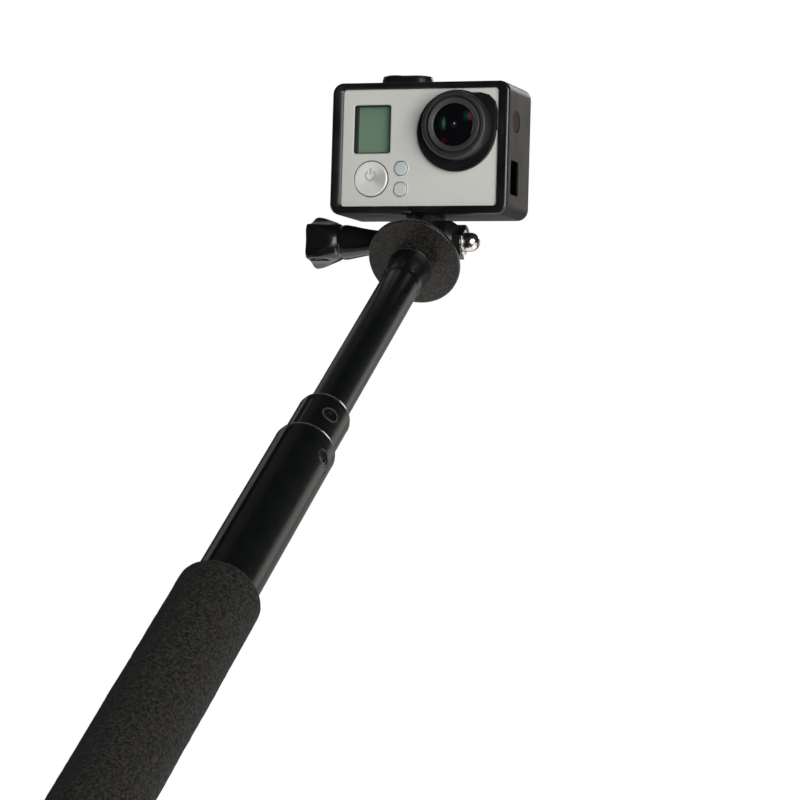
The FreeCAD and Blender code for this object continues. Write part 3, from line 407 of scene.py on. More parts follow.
def lens_glass_material(space):
    """Coated glass: nearly black, with faint coloured reflections of the elements behind it and a small highlight,
    all painted into its colour.
    """
    material = new_material("lens_glass", (0.002, 0.002, 0.0025), 0.03, IOR=1.3)
    place = into_space(material, space, 1.0 / MM).outputs["Vector"]
    total = None
    # Each painted reflection is a soft spot of colour added to the glass's base colour.
    for (x, y), (wide, tall), color in PAINTED_REFLECTIONS:
        shift = vector_math(material, "SUBTRACT", place, (x, y, 0.0))
        squash = vector_math(material, "MULTIPLY", shift, (1.0 / wide, 1.0 / tall, 0.0))
        ramp = add_ramp(material, vector_math(material, "LENGTH", squash), (
            (0.0, color), (REFLECTION_FADE, [REFLECTION_FADE * part for part in color]), (1.0, GLASS_BLACK)))
        ramp.color_ramp.interpolation = "EASE"
        reflection = ramp.outputs["Color"]
        total = reflection if total is None else vector_math(material, "ADD", total, reflection)
    feed(material, total, "Base Color")
    return material


def display_material(space):
    """The display's green, with painted shade: a little darker towards its top and brighter towards its foot."""
    material = new_material("display_green", (0.15, 0.29, 0.17), 0.4)
    cloud = add_noise(material, 160.0, 3.0)
    split = material.node_tree.nodes.new("ShaderNodeSeparateXYZ")
    place = into_space(material, space, 1.0 / MM)
    material.node_tree.links.new(place.outputs["Vector"], split.inputs["Vector"])
    # Painted shade: the green is lighter at the foot and darker at the top.
    rise = add_span(material, split.outputs["Y"], -DISPLAY_HALF, DISPLAY_HALF)
    ramp = add_ramp(material, rise, ((0.0, (0.19, 0.31, 0.205)), (1.0, (0.165, 0.265, 0.175))))
    feed(material, ramp.outputs["Color"], "Base Color")
    vary_roughness(material, cloud, 0.36, 0.46)
    return material


BUTTON_X, BUTTON_Z = -17.7 * MM, 21.4 * MM
LENS_X, LENS_Z = 14.6 * MM, 39.1 * MM
DISPLAY_X, DISPLAY_Z = -17.7 * MM, 38.75 * MM
DISPLAY_HALF = 8.5    # half of the display's height in millimetres


def in_head(x, z):
    """A spot on the camera's front, in the row frame."""
    return HEAD @ Matrix.Translation((x, 0, z))


# Name, darker and lighter colour, roughness, and what differs from moulded()'s usual values.
MOULDED = (
    ("pole_plastic", (0.0035, 0.0038, 0.004), (0.007, 0.007, 0.007), 0.27, {"depth": 0.00001}),
    ("slide_plastic", (0.6, 0.6, 0.57), (0.7, 0.7, 0.66), 0.5, {}),
    ("pad_rubber", (0.012, 0.012, 0.012), (0.02, 0.02, 0.02), 0.8, {}),
    # deep_black is a matt black for the painted shade in the charging slot.
    ("deep_black", (0.0005, 0.0005, 0.0005), (0.001, 0.001, 0.001), 0.9,
     {"Specular_IOR_Level": 0.0}),
    ("cut_edge", (0.02, 0.02, 0.02), (0.03, 0.03, 0.03), 0.16,
     {"grain": 900.0, "depth": 0.000001}),
    # mark_grey, lip_grey and mark_faint are lighter greys that paint small highlights: on the ring marks, the
    # cap's lip and the rivet.
    ("mark_grey", (0.03, 0.03, 0.028), (0.045, 0.045, 0.042), 0.35, {}),
    ("lip_grey", (0.1, 0.1, 0.095), (0.14, 0.14, 0.13), 0.3, {}),
    ("mark_faint", (0.01, 0.01, 0.01), (0.016, 0.016, 0.015), 0.3, {}),
    ("steel", (0.5, 0.5, 0.5), (0.58, 0.58, 0.58), 0.3, {"Metallic": 1.0}),
    ("brass", (0.6, 0.42, 0.18), (0.7, 0.5, 0.22), 0.3, {"Metallic": 1.0}),
    ("chrome_nut", (0.46, 0.445, 0.42), (0.56, 0.54, 0.51), 0.2,
     {"grain": 900.0, "depth": 0.000001, "strength": 0.1, "Metallic": 1.0}),
    ("knob_plastic", (0.003, 0.0035, 0.004), (0.006, 0.006, 0.006), 0.17,
     {"grain": 900.0, "depth": 0.00001}),
    ("hinge_plastic", (0.005, 0.005, 0.005), (0.01, 0.01, 0.01), 0.3, {}),
    ("frame_plastic", (0.01, 0.0095, 0.0085), (0.015, 0.014, 0.0125), 0.4,
     {"Specular_IOR_Level": 0.15}),
    ("bezel_plastic", (0.005, 0.0055, 0.006), (0.009, 0.0095, 0.01), 0.24, {}),
    ("case_plastic", (0.003, 0.003, 0.003), (0.006, 0.006, 0.006), 0.5,
     {"Specular_IOR_Level": 0.05}),
    ("symbol_grey", (0.36, 0.36, 0.34), (0.42, 0.42, 0.4), 0.5, {}),
    ("lens_black", (0.013, 0.014, 0.013), (0.018, 0.019, 0.018), 0.45, {}),
    ("ring_grey", (0.028, 0.029, 0.028), (0.034, 0.035, 0.034), 0.45, {}),
    ("surround_black", (0.004, 0.0045, 0.0045), (0.008, 0.008, 0.008), 0.45,
     {"Specular_IOR_Level": 0.2}),
    # display_black also fills the gap round the power button as painted shade.
    ("display_black", (0.002, 0.002, 0.002), (0.004, 0.004, 0.004), 0.6, {}),
    ("lamp_lens", (0.46, 0.5, 0.505), (0.56, 0.6, 0.6), 0.3, {}),
    ("sensor_brown", (0.03, 0.017, 0.017), (0.04, 0.025, 0.024), 0.55,
     {"Specular_IOR_Level": 0.03}),
    ("board_green", (0.01, 0.08, 0.03), (0.02, 0.1, 0.04), 0.4, {}),
    ("battery_grey", (0.06, 0.06, 0.07), (0.08, 0.08, 0.09), 0.4, {}),
    ("switch_black", (0.02, 0.02, 0.02), (0.03, 0.03, 0.03), 0.4, {}),
    ("jack_metal", (0.015, 0.015, 0.016), (0.025, 0.025, 0.026), 0.35, {}),
)
MATERIALS = {}


def make_materials():
    for name, *values, extra in MOULDED:
        MATERIALS[name] = moulded(name, *values, **extra)
    MATERIALS.update({
        "tube_anodised": anodised_material(),
        "foam": foam_material(),
        "disc_metal": disc_material(),
        "plate_silver": plate_material(),
        "button_silver": spun_metal_material(in_head(BUTTON_X, BUTTON_Z)),
        "lens_glass": lens_glass_material(in_head(LENS_X, LENS_Z)),
        "display_green": display_material(in_head(DISPLAY_X, DISPLAY_Z)),
        "display_glass": new_material("display_glass", (0.1, 0.14, 0.12), 0.05, Alpha=0.1),
    })


NODE_SLOTS = {row["node"]: row["material_slot"] for row in frame["record"]["subparts"]}


def paint_cad_nodes():
    for node, item in frame["nodes"].items():
        item.data.materials.clear()
        item.data.materials.append(MATERIALS[NODE_SLOTS[node]])


# ---------------------------------------------------------------- piece building

def body_of(node):
    """The body that a CAD node moves with."""
    for body, members in frame["record"]["behaviour"]["bodies"].items():
        if node in members:
            return body
    raise KeyError(node)


def add_piece(name, mesh, node, material=None, space=UPRIGHT, stands_for=True):
    """Link a finished mesh, move it into the row frame and let it ride on its node's body."""
    mesh.transform(space)
    mesh.materials.clear()
    mesh.materials.append(MATERIALS[material or NODE_SLOTS[node]])
    piece = put_in_scene(name, mesh)
    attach(piece, body_of(node))
    if stands_for:
        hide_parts(node)
    return piece


def apply_modifiers(piece):
    """Keep the mesh that a piece's modifiers make, and drop the modifiers."""
    graph = bpy.context.evaluated_depsgraph_get()
    finished = bpy.data.meshes.new_from_object(piece.evaluated_get(graph))
    piece.modifiers.clear()
    piece.data = finished


MERGE_GAP = 0.002 * MM
FLAT_ANGLE, SHARP_ANGLE = 0.6, 32.0    # degrees: faces joined below, edges rounded above
EVEN_WEIGHT = 100


def round_edges(piece, width, segments, angle):
    """A bevel on every edge that turns by more than an angle in degrees."""
    modifier = piece.modifiers.new("round_edges", "BEVEL")
    modifier.width = width
    modifier.segments = segments
    modifier.limit_method = "ANGLE"
    modifier.angle_limit = math.radians(angle)
    modifier.use_clamp_overlap = True
    return modifier


def even_out(piece):
    """Keep broad faces flat and let only their rounded edges turn the light."""
    modifier = piece.modifiers.new("even_normals", "WEIGHTED_NORMAL")
    modifier.weight = EVEN_WEIGHT
    modifier.keep_sharp = True


def refined(node, bevel, segments=3, material=None, reshape=None):
    """A copy of a CAD node's mesh with clean faces and its sharp edges rounded."""
    mesh = frame["nodes"][node].data.copy()
    shape = bmesh.new()
    shape.from_mesh(mesh)
    bmesh.ops.remove_doubles(shape, verts=shape.verts, dist=MERGE_GAP)
    bmesh.ops.dissolve_limit(shape, angle_limit=math.radians(FLAT_ANGLE), verts=shape.verts,
                             edges=shape.edges)
    for face in shape.faces:
        face.smooth = True
    if reshape:
        reshape(shape.verts)
    shape.to_mesh(mesh)
    shape.free()
    piece = add_piece(f"{node}_detailed", mesh, node, material)
    round_edges(piece, bevel, segments, SHARP_ANGLE)
    even_out(piece)
    apply_modifiers(piece)


def outward_mesh(name, shape):
    """End a bmesh: turn its faces outwards and keep it as a mesh."""
    bmesh.ops.recalc_face_normals(shape, faces=shape.faces)
    mesh = bpy.data.meshes.new(name)
    shape.to_mesh(mesh)
    shape.free()
    return mesh


def bridge(shape, rows, closed=True, smooth=False):
    """Join neighbouring rings of vertices, and the last ring to the first if closed."""
    for first, second in zip(rows, rows[1:] + rows[:1] if closed else rows[1:]):
        for number in range(len(first)):
            follower = (number + 1) % len(first)
            face = shape.faces.new((first[number], first[follower], second[follower],
                                    second[number]))
            face.smooth = smooth


def rounded_outline(points, steps=5):
    """An outline of (radius, height, rounding) points, with the rounded corners as soft curves."""
    outline = []
    count = len(points)
    for number, (radius, height, rounding) in enumerate(points):
        here = Vector((radius, height))
        if rounding == 0.0:
            outline.append(here)
            continue
        before = Vector(points[number - 1][:2])
        after = Vector(points[(number + 1) % count][:2])
        reach = min(rounding, (before - here).length / 2, (after - here).length / 2)
        start = here + (before - here).normalized() * reach
        end = here + (after - here).normalized() * reach
        for step in range(steps + 1):
            share = step / steps
            outline.append(start.lerp(here, share).lerp(here.lerp(end, share), share))
    return outline


ON_AXIS = 1e-7    # a smaller radius is a point on the axis
AXIS_SPACE = {
    "X": Matrix.Rotation(math.radians(90), 4, "Y"),
    "Y": Matrix.Rotation(math.radians(-90), 4, "X"),
    "Z": Matrix.Identity(4),
}


def lathe_mesh(name, outline, axis="Z", around=96):
    """A closed surface of revolution through an outline of (radius, height) points."""
    shape = bmesh.new()
    rings = []
    for radius, height in outline:
        if radius < ON_AXIS:
            rings.append([shape.verts.new((0, 0, height))])
            continue
        ring = []
        for number in range(around):
            turn = 2 * math.pi * number / around
            ring.append(shape.verts.new((radius * math.cos(turn), radius * math.sin(turn), height)))
        rings.append(ring)
    for first, second in zip(rings, rings[1:] + rings[:1]):
        if len(first) == 1 and len(second) == 1:
            continue
        for number in range(around):
            follower = (number + 1) % around
            corners = [first[number % len(first)], first[follower % len(first)],
                       second[follower % len(second)], second[number % len(second)]]
            face = shape.faces.new(list(dict.fromkeys(corners)))
            face.smooth = True
    mesh = outward_mesh(name, shape)
    mesh.transform(AXIS_SPACE[axis])
    return mesh


def lathe(name, node, points, axis="Z", space=UPRIGHT, around=96, material=None, stands_for=True):
    """A turned piece from (radius, height, rounding) points."""
    mesh = lathe_mesh(name, rounded_outline(points), axis, around)
    return add_piece(name, mesh, node, material, space, stands_for)


# ---------------------------------------------------------------- pole

SHOULDER_R, SHOULDER_SQUASH, SHOULDER_STEPS = 4.2 * MM, 0.8, 24
GRIP_BORE, GRIP_ROWS, GRIP_AROUND = 10.3 * MM, 110, 160
# How far the cut surface sinks in millimetres, with a wide and a small unevenness, and how many
# features per metre each of the two has.
SINK, SINK_WIDE, SINK_SMALL = 0.12, 0.1, 0.1
WIDE_SCALE, SMALL_SCALE = 55.0, 420.0


def make_foam_grip():
    """The foam sleeve, with soft shoulders and a slightly uneven cut surface."""
    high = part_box("foam_grip")[1]
    radius, half = high.x, high.z
    shoulder = []
    for step in range(SHOULDER_STEPS + 1):
        turn = math.radians(90 * step / SHOULDER_STEPS)
        shoulder.append(Vector((
            radius - SHOULDER_R * (1 - math.sin(turn)),
            half - SHOULDER_R * SHOULDER_SQUASH * (1 - math.cos(turn)))))
    side_top = shoulder[-1].y
    side = [Vector((radius, side_top - 2 * side_top * row / GRIP_ROWS))
            for row in range(1, GRIP_ROWS)]
    foot = [Vector((point.x, -point.y)) for point in reversed(shoulder)]
    bore = [Vector((GRIP_BORE, -half)), Vector((GRIP_BORE, half))]
    mesh = lathe_mesh("foam_grip_soft", shoulder + side + foot + bore, "Z", GRIP_AROUND)
    for vertex in mesh.vertices:
        flat = Vector((vertex.co.x, vertex.co.y))
        if flat.length < GRIP_BORE * 1.05:    # the bore stays smooth
            continue
        wide = noise.noise(vertex.co * WIDE_SCALE)
        small = noise.noise(vertex.co * SMALL_SCALE)
        sink = (SINK + SINK_WIDE * wide + SINK_SMALL * small) * MM
        vertex.co.x -= flat.x / flat.length * sink
        vertex.co.y -= flat.y / flat.length * sink
    piece = add_piece("foam_grip_soft", mesh, "foam_grip")


# Which mouth, the angle round the tube in degrees and the material of each ring mark; the marks' greys are lighter
# than the tube and paint in the highlight round the ring's edge.
MARKS = (("outer", -15.0, "mark_faint"), ("middle", -44.5, "mark_grey"))
# The mark's cross-section: how far from its centre and how deep in the wall, in millimetres.
MARK_SECTION = ((2.45, 0.04), (2.6, 0.0), (3.0, 0.0), (3.15, 0.04), (2.8, 0.3))
MARK_STEPS = 64
MARK_DROP, RIM_TALL = 9.3 * MM, 1.15 * MM
LIP_BAND, LIP_DEPTH, LIP_DRAW = 0.3 * MM, 0.05 * MM, 0.45 * MM


def make_rim(name, node, radius, top, tall, material):
    """The bright cut edge of a tube's mouth."""
    lathe(name, node, [
        (radius - 1.0 * MM, top - 0.03 * MM, 0), (radius - 0.3 * MM, top - 0.02 * MM, 0.08 * MM),
        (radius - 0.02 * MM, top - tall, 0.2 * MM),
        (radius - 0.1 * MM, top - tall - 0.1 * MM, 0),
        (radius - 1.0 * MM, top - tall - 0.1 * MM, 0)],
        around=160, material=material, stands_for=False)


def taper_lip(radius, top):
    """What draws in the top corner of a mouth's flange, behind the bright rim."""
    def draw_in(points):
        for point in points:
            reach = math.hypot(point.co.x, point.co.y)
            if point.co.z > top - LIP_DEPTH and reach > radius - LIP_BAND:
                shrink = (radius - LIP_DRAW) / reach
                point.co.x *= shrink
                point.co.y *= shrink
    return draw_in


def make_mark(name, node, radius, height, angle, material):
    """The pressed ring that marks a tube's stop, wrapped round the tube, in a lighter grey that paints the
    highlight on its edge.
    """
    shape = bmesh.new()
    rows = []
    for step in range(MARK_STEPS):
        turn = 2 * math.pi * step / MARK_STEPS
        row = []
        for reach, sink in MARK_SECTION:
            round_it = math.radians(angle) + reach * MM * math.cos(turn) / radius
            out = radius - sink * MM
            row.append(shape.verts.new((out * math.cos(round_it), out * math.sin(round_it),
                                        height + reach * MM * math.sin(turn))))
        rows.append(row)
    bridge(shape, rows, smooth=True)
    add_piece(name, outward_mesh(name, shape), node, material, stands_for=False)


# Sizes of the head cap, the disc and the rivet, as heights in the row frame and radii.
STUD_R = 3.13 * MM
PLUG_R, PLUG_FOOT = 5.9 * MM, 236 * MM
TUBE_END = 253.1 * MM
SKIRT_BORE, SKIRT_FOOT = 6.55 * MM, 243.2 * MM
NECK_R, NECK_FOOT = 5 * MM, 257 * MM
DISC_FOOT, DISC_TOP, DISC_ROUND = 260.9 * MM, 262.7 * MM, 0.45 * MM
RIVET_R, RIVET_ROOT, RIVET_TIP = 0.79 * MM, 3.7 * MM, 7.28 * MM
RIVET_HEIGHT, RIVET_ANGLE = 0.2462, -46


def make_mouths():
    """The guide in each tube's mouth, with its bright rim and its ring mark."""
    for name, angle, material in MARKS:
        node = f"{name}_mouth_bush"
        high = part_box(node)[1]
        refined(node, 0.1 * MM, reshape=taper_lip(high.x, high.z))
        make_rim(f"{name}_rim_edge", node, high.x, high.z, RIM_TALL, "cut_edge")
        make_mark(f"{name}_mark_ring", node, high.x - 0.05 * MM, high.z - MARK_DROP, angle,
                  material)


def make_head_cap():
    """The cap's plug inside the tube, and its skirt outside, which widens into a lip."""
    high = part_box("head_cap")[1]
    lip, top = high.x, high.z
    lathe("head_cap_turned", "head_cap", [
        (STUD_R, PLUG_FOOT, 0), (PLUG_R, PLUG_FOOT, 0.3 * MM), (PLUG_R, TUBE_END, 0),
        (SKIRT_BORE, TUBE_END, 0), (SKIRT_BORE, SKIRT_FOOT, 0), (6.65 * MM, SKIRT_FOOT, 0),
        (6.71 * MM, 243.6 * MM, 0), (7.0 * MM, 245.9 * MM, 1.0 * MM),
        (7.03 * MM, 250.5 * MM, 3 * MM), (lip - 0.04 * MM, top - 0.55 * MM, 0.1 * MM),
        (lip - 0.5 * MM, top, 0), (lip - 1.4 * MM, top, 0), (STUD_R, top, 0)],
        material="tube_anodised")
    # The lip's edge is a lighter grey: a painted highlight, as the disc above keeps the light off it.
    make_rim("cap_lip_highlight", "head_cap", lip - 0.01 * MM, top, 0.5 * MM, "lip_grey")


def make_pole():
    """What the pole shows: grip, mouths, end cap, head cap, disc and rivet."""
    make_foam_grip()
    make_mouths()
    refined("end_cap", 0.4 * MM)
    make_head_cap()
    disc_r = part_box("mount_disc")[1].x
    lathe("mount_disc_turned", "mount_disc", [
        (STUD_R, NECK_FOOT, 0), (NECK_R, NECK_FOOT, 0), (NECK_R, DISC_FOOT, 0.2 * MM),
        (disc_r, DISC_FOOT, DISC_ROUND), (disc_r, DISC_TOP, DISC_ROUND), (STUD_R, DISC_TOP, 0)],
        around=144)
    rivet_space = (Matrix.Translation((0, 0, RIVET_HEIGHT))
                   @ Matrix.Rotation(math.radians(RIVET_ANGLE), 4, "Z") @ AXIS_SPACE["X"])
    # The rivet is a dull lighter grey: a painted faint highlight.
    lathe("cap_rivet_turned", "cap_rivet", [
        (0, RIVET_ROOT, 0), (RIVET_R, RIVET_ROOT, 0), (RIVET_R, RIVET_TIP, 0.3 * MM),
        (0, RIVET_TIP, 0)], space=rivet_space, around=24, material="mark_faint")


# ---------------------------------------------------------------- hinge hardware

# Station along the tilt screw and radius, in millimetres, from the neck round the knob's end.
KNOB_PROFILE = (
    (-7.92, 2.6), (-7.92, 3.7), (-8.2, 4.0), (-17.2, 4.15), (-20.4, 4.55), (-23.5, 5.1),
    (-26.2, 5.65), (-28.4, 6.05), (-29.3, 6.15), (-30.0, 6.08), (-30.35, 5.85), (-30.8, 5.72),
    (-31.2, 5.95), (-31.5, 6.35), (-32.4, 6.75), (-33.5, 7.2), (-34.6, 7.6), (-36.1, 8.2),
    (-37.6, 8.8), (-38.9, 9.2), (-40.2, 9.45), (-40.9, 9.47), (-41.4, 9.3), (-41.7, 9.0),
    (-41.88, 8.5), (-41.9, 7.8), (-41.8, 6.2), (-41.6, 5.24), (-39.4, 5.24), (-39.4, 2.6),
)
FLUTE_CENTRE, FLUTE_R, FLUTES, FLUTE_ANGLE = 18.6, 11.6, 5, -2.2
FLUTES_START, FLUTE_LEAST, FLUTE_BLEND = -31.6, 5.3, 0.9
KNOB_GAP, KNOB_AROUND = 0.3, 288


def smooth_least(first, second, blend):
    """The smaller of two values, rounded off where they cross."""
    share = max(blend - abs(first - second), 0.0) / blend
    return min(first, second) - share * share * blend / 4


def fluted_radius(station, radius, turn):
    """The knob's radius in mm at a station and a turn, with its five finger flutes."""
    if station > FLUTES_START or radius < FLUTE_LEAST:
        return radius
    step = 2 * math.pi / FLUTES
    away = (turn + step / 2) % step - step / 2
    reach = FLUTE_R ** 2 - (FLUTE_CENTRE * math.sin(away)) ** 2
    valley = FLUTE_CENTRE * math.cos(away) - math.sqrt(max(reach, 0.0))
    return smooth_least(radius, valley, FLUTE_BLEND)


def dense_profile(points, gap):
    """The same profile with points added, so that none are much further apart than a gap."""
    dense = []
    for first, second in zip(points, points[1:]):
        count = max(1, int(math.dist(first, second) / gap))
        for step in range(count):
            dense.append(tuple(Vector(first).lerp(Vector(second), step / count)))
    dense.append(points[-1])
    return dense


def make_knob():
    """The thumb screw's knob: a turned profile with finger flutes in its head."""
    shape = bmesh.new()
    rings = []
    first_flute = math.radians(90 - FLUTE_ANGLE)
    for station, radius in dense_profile(KNOB_PROFILE, KNOB_GAP):
        ring = []
        for number in range(KNOB_AROUND):
            turn = 2 * math.pi * number / KNOB_AROUND
            reach = fluted_radius(station, radius, turn - first_flute)
            ring.append(shape.verts.new((station * MM, reach * math.cos(turn) * MM,
                                         reach * math.sin(turn) * MM)))
        rings.append(ring)
    bridge(shape, rings, smooth=True)
    add_piece("thumb_knob_lobed", outward_mesh("thumb_knob_lobed", shape), "thumb_knob",
              space=HINGE_LINE)


def make_hinge():
    make_knob()
    refined("dome_nut", 0.25 * MM)
    refined("hinge_adapter", 0.35 * MM)
    low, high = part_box("knob_cap")
    lathe("knob_cap_turned", "knob_cap", [
        (0, high.x, 0), (5.19 * MM, high.x, 0), (5.19 * MM, low.x, 0.6 * MM), (0, low.x, 0)],
        "X", HINGE_LINE)


# ---------------------------------------------------------------- clip frame

def rounded_loop(x0, x1, z0, z1, radius, steps=8):
    """Points round a rectangle with rounded corners, counter-clockwise from the lower right."""
    loop = []
    corners = ((x1, z0, -90), (x1, z1, 0), (x0, z1, 90), (x0, z0, 180))
    for x, z, start in corners:
        middle = Vector((x - math.copysign(radius, x - (x0 + x1) / 2),
                         z - math.copysign(radius, z - (z0 + z1) / 2)))
        for step in range(steps + 1):
            turn = math.radians(start + 90 * step / steps)
            loop.append(middle + Vector((math.cos(turn), math.sin(turn))) * radius)
    return loop


def banded_loops(name, bands):
    """A closed ring surface through (loop, y) bands that all have the same number of points."""
    shape = bmesh.new()
    bridge(shape, [[shape.verts.new((point.x, y, point.y)) for point in loop]
                   for loop, y in bands])
    return outward_mesh(name, shape)


def cut_away(piece, mesh):
    """Take a closed mesh out of a piece."""
    cutter = put_in_scene("cutter", mesh)
    modifier = piece.modifiers.new("cut", "BOOLEAN")
    modifier.operation = "DIFFERENCE"
    modifier.solver = "EXACT"
    modifier.object = cutter
    bpy.context.view_layer.update()
    apply_modifiers(piece)
    bpy.data.objects.remove(cutter)


def prism_mesh(name, outline, y0, y1):
    """A solid between two copies of an (x, z) outline."""
    shape = bmesh.new()
    front = [shape.verts.new((x, y0, z)) for x, z in outline]
    back = [shape.verts.new((x, y1, z)) for x, z in outline]
    shape.faces.new(front)
    shape.faces.new(back[::-1])
    for number in range(len(outline)):
        follower = (number + 1) % len(outline)
        shape.faces.new((front[number], back[number], back[follower], front[follower]))
    return outward_mesh(name, shape)


BEZEL_WINDOW = (-28.4 * MM, 28.4 * MM, 11.8 * MM, 52.6 * MM)
# Share of the way in from the outer edge, corner radius, and depth below the front.
BEZEL_STEPS = (
    (0, 3.8, 0.8), (0.04, 3.7, 0.42), (0.12, 3.5, 0.14), (0.22, 3.3, 0.02), (0.3, 3.1, 0.0),
    (0.36, 2.9, 0.04), (0.5, 2.5, 0.12), (0.95, 1.3, 0.4), (0.985, 1.1, 0.5),
)
NOTCH_X, NOTCH_WIDE, NOTCH_NARROW = 0.3 * MM, 6.1 * MM, 2.1 * MM
NOTCH_TOP, NOTCH_FOOT, NOTCH_DEPTH = 12.8 * MM, 9.2 * MM, 0.7 * MM


def make_bezel():
    """The clip-on border: a rounded outer edge, a flat ridge and a slope down to the plate."""
    low, high = head_box("front_bezel")
    outside = (low.x, high.x, low.z, high.z)
    front, back = low.y, high.y

    def loop(share, radius):
        sides = [a + (b - a) * share for a, b in zip(outside, BEZEL_WINDOW)]
        return rounded_loop(*sides, radius * MM)

    bands = [(loop(share, radius), front + depth * MM) for share, radius, depth in BEZEL_STEPS]
    bands = [(loop(0, 3.8), back), *bands, (loop(1.0, 1.1), back)]
    mesh = banded_loops("front_bezel_moulded", bands)
    piece = add_piece("front_bezel_moulded", mesh, "front_bezel", space=HEAD)
    outline = [(NOTCH_X - NOTCH_WIDE, NOTCH_TOP), (NOTCH_X - NOTCH_NARROW, NOTCH_FOOT),
               (NOTCH_X + NOTCH_NARROW, NOTCH_FOOT), (NOTCH_X + NOTCH_WIDE, NOTCH_TOP)]
    notch = prism_mesh("notch", outline, front - 1 * MM, front + NOTCH_DEPTH)
    notch.transform(HEAD)
    cut_away(piece, notch)
    round_edges(piece, 0.12 * MM, 2, 40).harden_normals = True
    apply_modifiers(piece)
    piece.data.shade_smooth()


def make_clip_frame():
    refined("camera_frame", 0.55 * MM)
    make_bezel()
    make_side_window()
    make_port_edge()


def make_side_window():
    """The dark round window, just below the surface of the frame's side."""
    low, high = head_box("side_sensor_cover")
    middle = (low + high) / 2
    radius = (high.z - low.z) / 2
    flush = head_box("camera_frame")[1].x - 0.12 * MM
    spot = HEAD @ Matrix.Translation((0, middle.y, middle.z))
    lathe("side_sensor_dome", "side_sensor_cover", [
        (0, low.x, 0), (radius, low.x, 0), (radius, flush - 0.2 * MM, 0.15 * MM),
        (radius - 0.5 * MM, flush, 0.3 * MM), (0, flush, 0)], "X", spot, 64)


PORT = (-6.2 * MM, 2.7 * MM, 15.9 * MM, 27.9 * MM)
PORT_INSET, PORT_CORNER, PORT_EDGE = 0.03 * MM, 0.9 * MM, 0.5 * MM
SQUARE_CORNER = 0.02 * MM


def make_port_edge():
    """Rounded corners for the charging slot in the frame's side, and a black block in its throat that paints the
    shade inside it.
    """
    outside = -head_box("camera_frame")[1].x
    y0, y1, z0, z1 = PORT
    square = rounded_loop(y0, y1, z0, z1, SQUARE_CORNER)
    rounded = rounded_loop(y0 + PORT_INSET, y1 - PORT_INSET, z0 + PORT_INSET, z1 - PORT_INSET,
                           PORT_CORNER)
    turned = HEAD @ Matrix.Rotation(math.radians(90), 4, "Z")
    front, back = outside + 0.02 * MM, outside + PORT_EDGE
    edge = banded_loops("charging_slot_corners", [
        (square, front), (rounded, front), (rounded, back), (square, back)])
    add_piece("charging_slot_corners", edge, "camera_frame", space=turned, stands_for=False)
    # A matt black block set into the slot: painted shade in its throat.
    dark = prism_mesh("charging_slot_painted_shade", square, outside + 0.6 * MM, outside + 1.6 * MM)
    add_piece("charging_slot_painted_shade", dark, "camera_frame", "deep_black", turned, False)


# ---------------------------------------------------------------- camera

BUTTON_R, BUTTON_FLANGE, GAP_R = 6.12 * MM, 0.88 * MM, 6.44 * MM
FLANGE_FRONT, FLANGE_BACK, STEM_R = 1.64 * MM, 2.38 * MM, 1.6 * MM
SYMBOL_R, SYMBOL_HALF, SYMBOL_LIFT, SYMBOL_STEPS = 1.75 * MM, 0.32 * MM, 0.05 * MM, 40
SYMBOL_START, SYMBOL_SWEEP = 125, 290


def make_power_button():
    """The silver button with its hidden flange and stem, and a black ring in the gap round it that paints the
    shade there.
    """
    low, high = head_box("power_button")
    spot = in_head(BUTTON_X, BUTTON_Z)
    face = low.y
    wide = BUTTON_R + BUTTON_FLANGE
    lathe("power_button_turned", "power_button", [
        (0, face, 0), (BUTTON_R - 0.5 * MM, face, 0.3 * MM),
        (BUTTON_R, face + 0.25 * MM, 0.2 * MM), (BUTTON_R, face + 0.6 * MM, 0.1 * MM),
        (BUTTON_R, face + FLANGE_FRONT, 0), (wide, face + FLANGE_FRONT, 0),
        (wide, face + FLANGE_BACK, 0), (STEM_R, face + FLANGE_BACK, 0), (STEM_R, high.y, 0),
        (0, high.y, 0)], "Y", spot)
    plate = head_box("front_plate")[0].y
    # A black ring filling the gap round the button: painted shade.
    inner, front, back = BUTTON_R + 0.03 * MM, plate + 0.12 * MM, plate + 0.7 * MM
    lathe("power_button_gap_shade", "front_plate", [
        (inner, front, 0), (GAP_R, front, 0), (GAP_R, back, 0), (inner, back, 0)],
        "Y", spot, material="display_black", stands_for=False)
    make_power_symbol(face)


def make_power_symbol(face):
    """A broken ring with a bar in its gap, raised a hair above the button's face."""
    symbol = bmesh.new()
    top, foot = face - 0.02 * MM, face + SYMBOL_LIFT
    rows = []
    for step in range(SYMBOL_STEPS + 1):
        turn = math.radians(SYMBOL_START + SYMBOL_SWEEP * step / SYMBOL_STEPS)
        row = []
        for radius, y in ((SYMBOL_R - SYMBOL_HALF, foot), (SYMBOL_R - SYMBOL_HALF, top),
                          (SYMBOL_R + SYMBOL_HALF, top), (SYMBOL_R + SYMBOL_HALF, foot)):
            row.append(symbol.verts.new((radius * math.cos(turn), y, radius * math.sin(turn))))
        rows.append(row)
    bridge(symbol, rows, closed=False)
    symbol.faces.new(rows[0])
    symbol.faces.new(rows[-1])
    bar = bmesh.ops.create_cube(symbol, size=1.0)
    for vertex in bar["verts"]:
        x, y, z = vertex.co
        vertex.co = Vector((x * 2 * SYMBOL_HALF, (top + foot) / 2 + y * (foot - top),
                            SYMBOL_R * 0.85 + z * SYMBOL_R * 1.3))
    mesh = outward_mesh("power_symbol", symbol)
    place = in_head(BUTTON_X - 0.1 * MM, BUTTON_Z + 1.1 * MM)
    add_piece("power_symbol", mesh, "power_button", "symbol_grey", place, stands_for=False)


